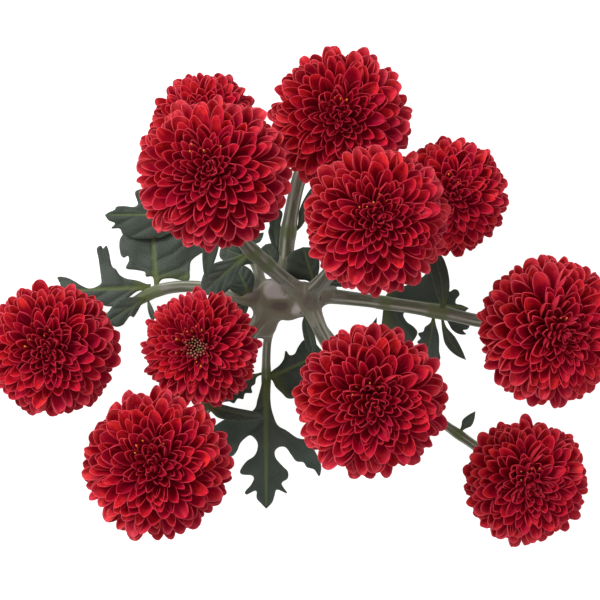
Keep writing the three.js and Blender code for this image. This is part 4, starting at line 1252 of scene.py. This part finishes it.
def leaf_veins(leaf, length):
    """The side veins as flat segments, each bowed a little towards the tip."""
    starts, ends = [], []
    for half, sign in zip(VEINS[leaf.outline], (1, -1)):
        for leave, share, out in half:
            near = np.array([leave * length, 0])
            far = np.array([share * length, sign * out * leaf.spread])
            bend = 0.5 * (near + far) - 0.1 * np.array([abs(far[1]), 0])
            starts += [near, bend]
            ends += [bend, far]
    return np.array(starts), np.array(ends)


def leaf_grid(border):
    """Points inside the border in a grid of triangles, clear of its edge."""
    low, high = border.min(0), border.max(0)
    rise = LEAF_GRAIN * sqrt(3) / 2
    grid = []
    for row in range(int((high[1] - low[1]) / rise) + 1):
        shift = 0.5 * LEAF_GRAIN * (row % 2)
        for x in np.arange(low[0] + shift, high[0], LEAF_GRAIN):
            grid.append((x, low[1] + row * rise))
    grid = np.array(grid)
    grid = grid[inside_border(grid, border)]
    apart = distance_to(grid, border, np.roll(border, -1, axis=0))
    return grid[apart > 0.45 * LEAF_GRAIN]


def leaf_sheet(border):
    """The flat points on and inside the border, and the triangles between them."""
    points = np.concatenate([border, leaf_grid(border)])
    loop = list(range(len(border)))
    found = delaunay_2d_cdt([Vector(p) for p in points], [], [loop], 1, 1e-5)
    return np.array([tuple(p) for p in found[0]]), [list(face) for face in found[2]]


def make_leaf(number, leaf, finish):
    base, length, along, across, normal, side = leaf_frame(leaf)
    random = np.random.default_rng(LEAF_SEED + number)
    border = leaf_border(leaf, length)
    flat, triangles = leaf_sheet(border)
    ahead, aside = flat.T
    share = np.clip(ahead / length, 0, 1)
    to_side = distance_to(flat, *leaf_veins(leaf, length))
    to_rib = np.abs(aside)
    edge = np.exp(-distance_to(flat, border, np.roll(border, -1, axis=0)) / EDGE_WIDTH)
    rib_width = (RIB_WIDTH + RIB_WIDENS * leaf.spread) * (1 - 0.65 * share)
    rib = np.exp(-(to_rib / rib_width) ** 2) * (share < 0.97)
    vein = np.maximum(np.exp(-(to_side / VEIN_WIDTH) ** 2) * 0.75, rib)
    stalk = smooth_step(1 - share / STALK)

    first_wave, second_wave, _ = random.uniform(0, 2 * pi, 3)
    ripple = np.sin(ahead * 0.55 + first_wave) + np.sin(ahead * 0.3 + aside * 0.5 + second_wave)
    puff = PUFF * np.minimum(to_side, to_rib).clip(0, PUFF_REACH) * (1 - edge)
    bent = 4 * share * (1 - share)
    lift = leaf.arch * bent + leaf.rise * to_rib + RIPPLE * to_rib * ripple + puff
    keel = KEEL * stalk * min(1.0, leaf.spread / 6) + 0.4 * (1 - share) * rib
    thick = LEAF_THICK * (1 - 0.4 * edge) + keel * (1 - edge) + VEIN_RAISED * vein
    clasp = smooth_step(1 - (ahead + LEAF_CLASP) / CLASP_REACH)
    sink = (GAP + LEAF_SEAT + CLASP_SUNK) * clasp
    upper = base + np.outer(ahead, along) + np.outer(aside + leaf.bow * bent, across)
    upper = upper - np.outer(sink, side) + np.outer(lift + 0.5 * LEAF_THICK, normal)
    points = np.concatenate([upper, upper - np.outer(thick, normal)])
    points[:, 2] = np.maximum(points[:, 2], LEAF_CLEAR)

    count = len(flat)
    faces = triangles + [[count + corner for corner in face[::-1]] for face in triangles]
    edges = {(a, b) for face in triangles for a, b in zip(face, face[1:] + face[:1])}
    faces += [[b, a, count + a, count + b] for a, b in sorted(edges) if (b, a) not in edges]
    tone = max(0.12 + 0.14 * random.uniform(-1, 1), 0)
    values = {
        "vein": np.tile(vein, 2),
        "rib": np.tile(rib * min(1.0, 0.5 + leaf.spread / 20), 2),
        "edge": np.tile(edge, 2),
        "under": np.repeat([0.0, 1.0], count),
        "tone": np.full(2 * count, tone),
        "stalk": np.tile(stalk, 2),
        "place": np.column_stack([np.tile(flat, (2, 1)), np.full(2 * count, LEAF_APART * number)]),
    }
    name = f"leaf_{number}"
    make_piece(f"{name}_blade", points, faces, finish, [name], values)


# ------------------------------------------------------------ floor, lights and camera

def make_floor(finish):
    mesh = bpy.data.meshes.new("floor")
    corners = [(-FLOOR_HALF, -FLOOR_HALF), (FLOOR_HALF, -FLOOR_HALF),
               (FLOOR_HALF, FLOOR_HALF), (-FLOOR_HALF, FLOOR_HALF)]
    mesh.from_pydata([(x, y, -FLOOR_DROP) for x, y in corners], [], [(0, 1, 2, 3)])
    mesh.materials.append(finish)
    floor = add_object("floor", mesh)


def make_lamp(name, place, size, power):
    """A square soft light that faces the spray."""
    lamp = bpy.data.lights.new(name, "AREA")
    lamp.size = size
    lamp.energy = power
    light = add_object(name, lamp)
    light.location = place
    light.rotation_euler = (-Vector(place)).to_track_quat("-Z", "Y").to_euler()


def make_daylight():
    world = bpy.data.worlds.new("soft_white")
    world.use_nodes = True
    background = world.node_tree.nodes["Background"]
    background.inputs["Color"].default_value = (1.0, 1.0, 1.0, 1.0)
    background.inputs["Strength"].default_value = DAYLIGHT
    bpy.context.scene.world = world


def make_camera():
    lens = bpy.data.cameras.new("camera")
    lens.lens = CAMERA_LENS
    lens.sensor_width = SENSOR
    camera = add_object("camera", lens)
    camera.location = (-MIDDLE[0] * MM, -MIDDLE[1] * MM, CAMERA_HEIGHT * MM)
    bpy.context.scene.camera = camera


make_camera()
petal = petal_finish()
heart = heart_shade_finish()
floret = floret_finish()
leaf_skin = leaf_finish()
for number, bloom in BLOOMS.items():
    make_bloom(number, bloom, petal)
    make_heart(number, bloom, heart)
    make_florets(number, bloom, floret)
make_buds(BLOOMS[YOUNG_BLOOM], bud_finish())
make_stem(stem_finish())
for number, leaf in LEAVES.items():
    make_leaf(number, leaf, leaf_skin)
make_floor(floor_finish())
make_daylight()
for name, lamp in LAMPS.items():
    make_lamp(name, *lamp)
bpy.context.scene.view_settings.view_transform = "Standard"
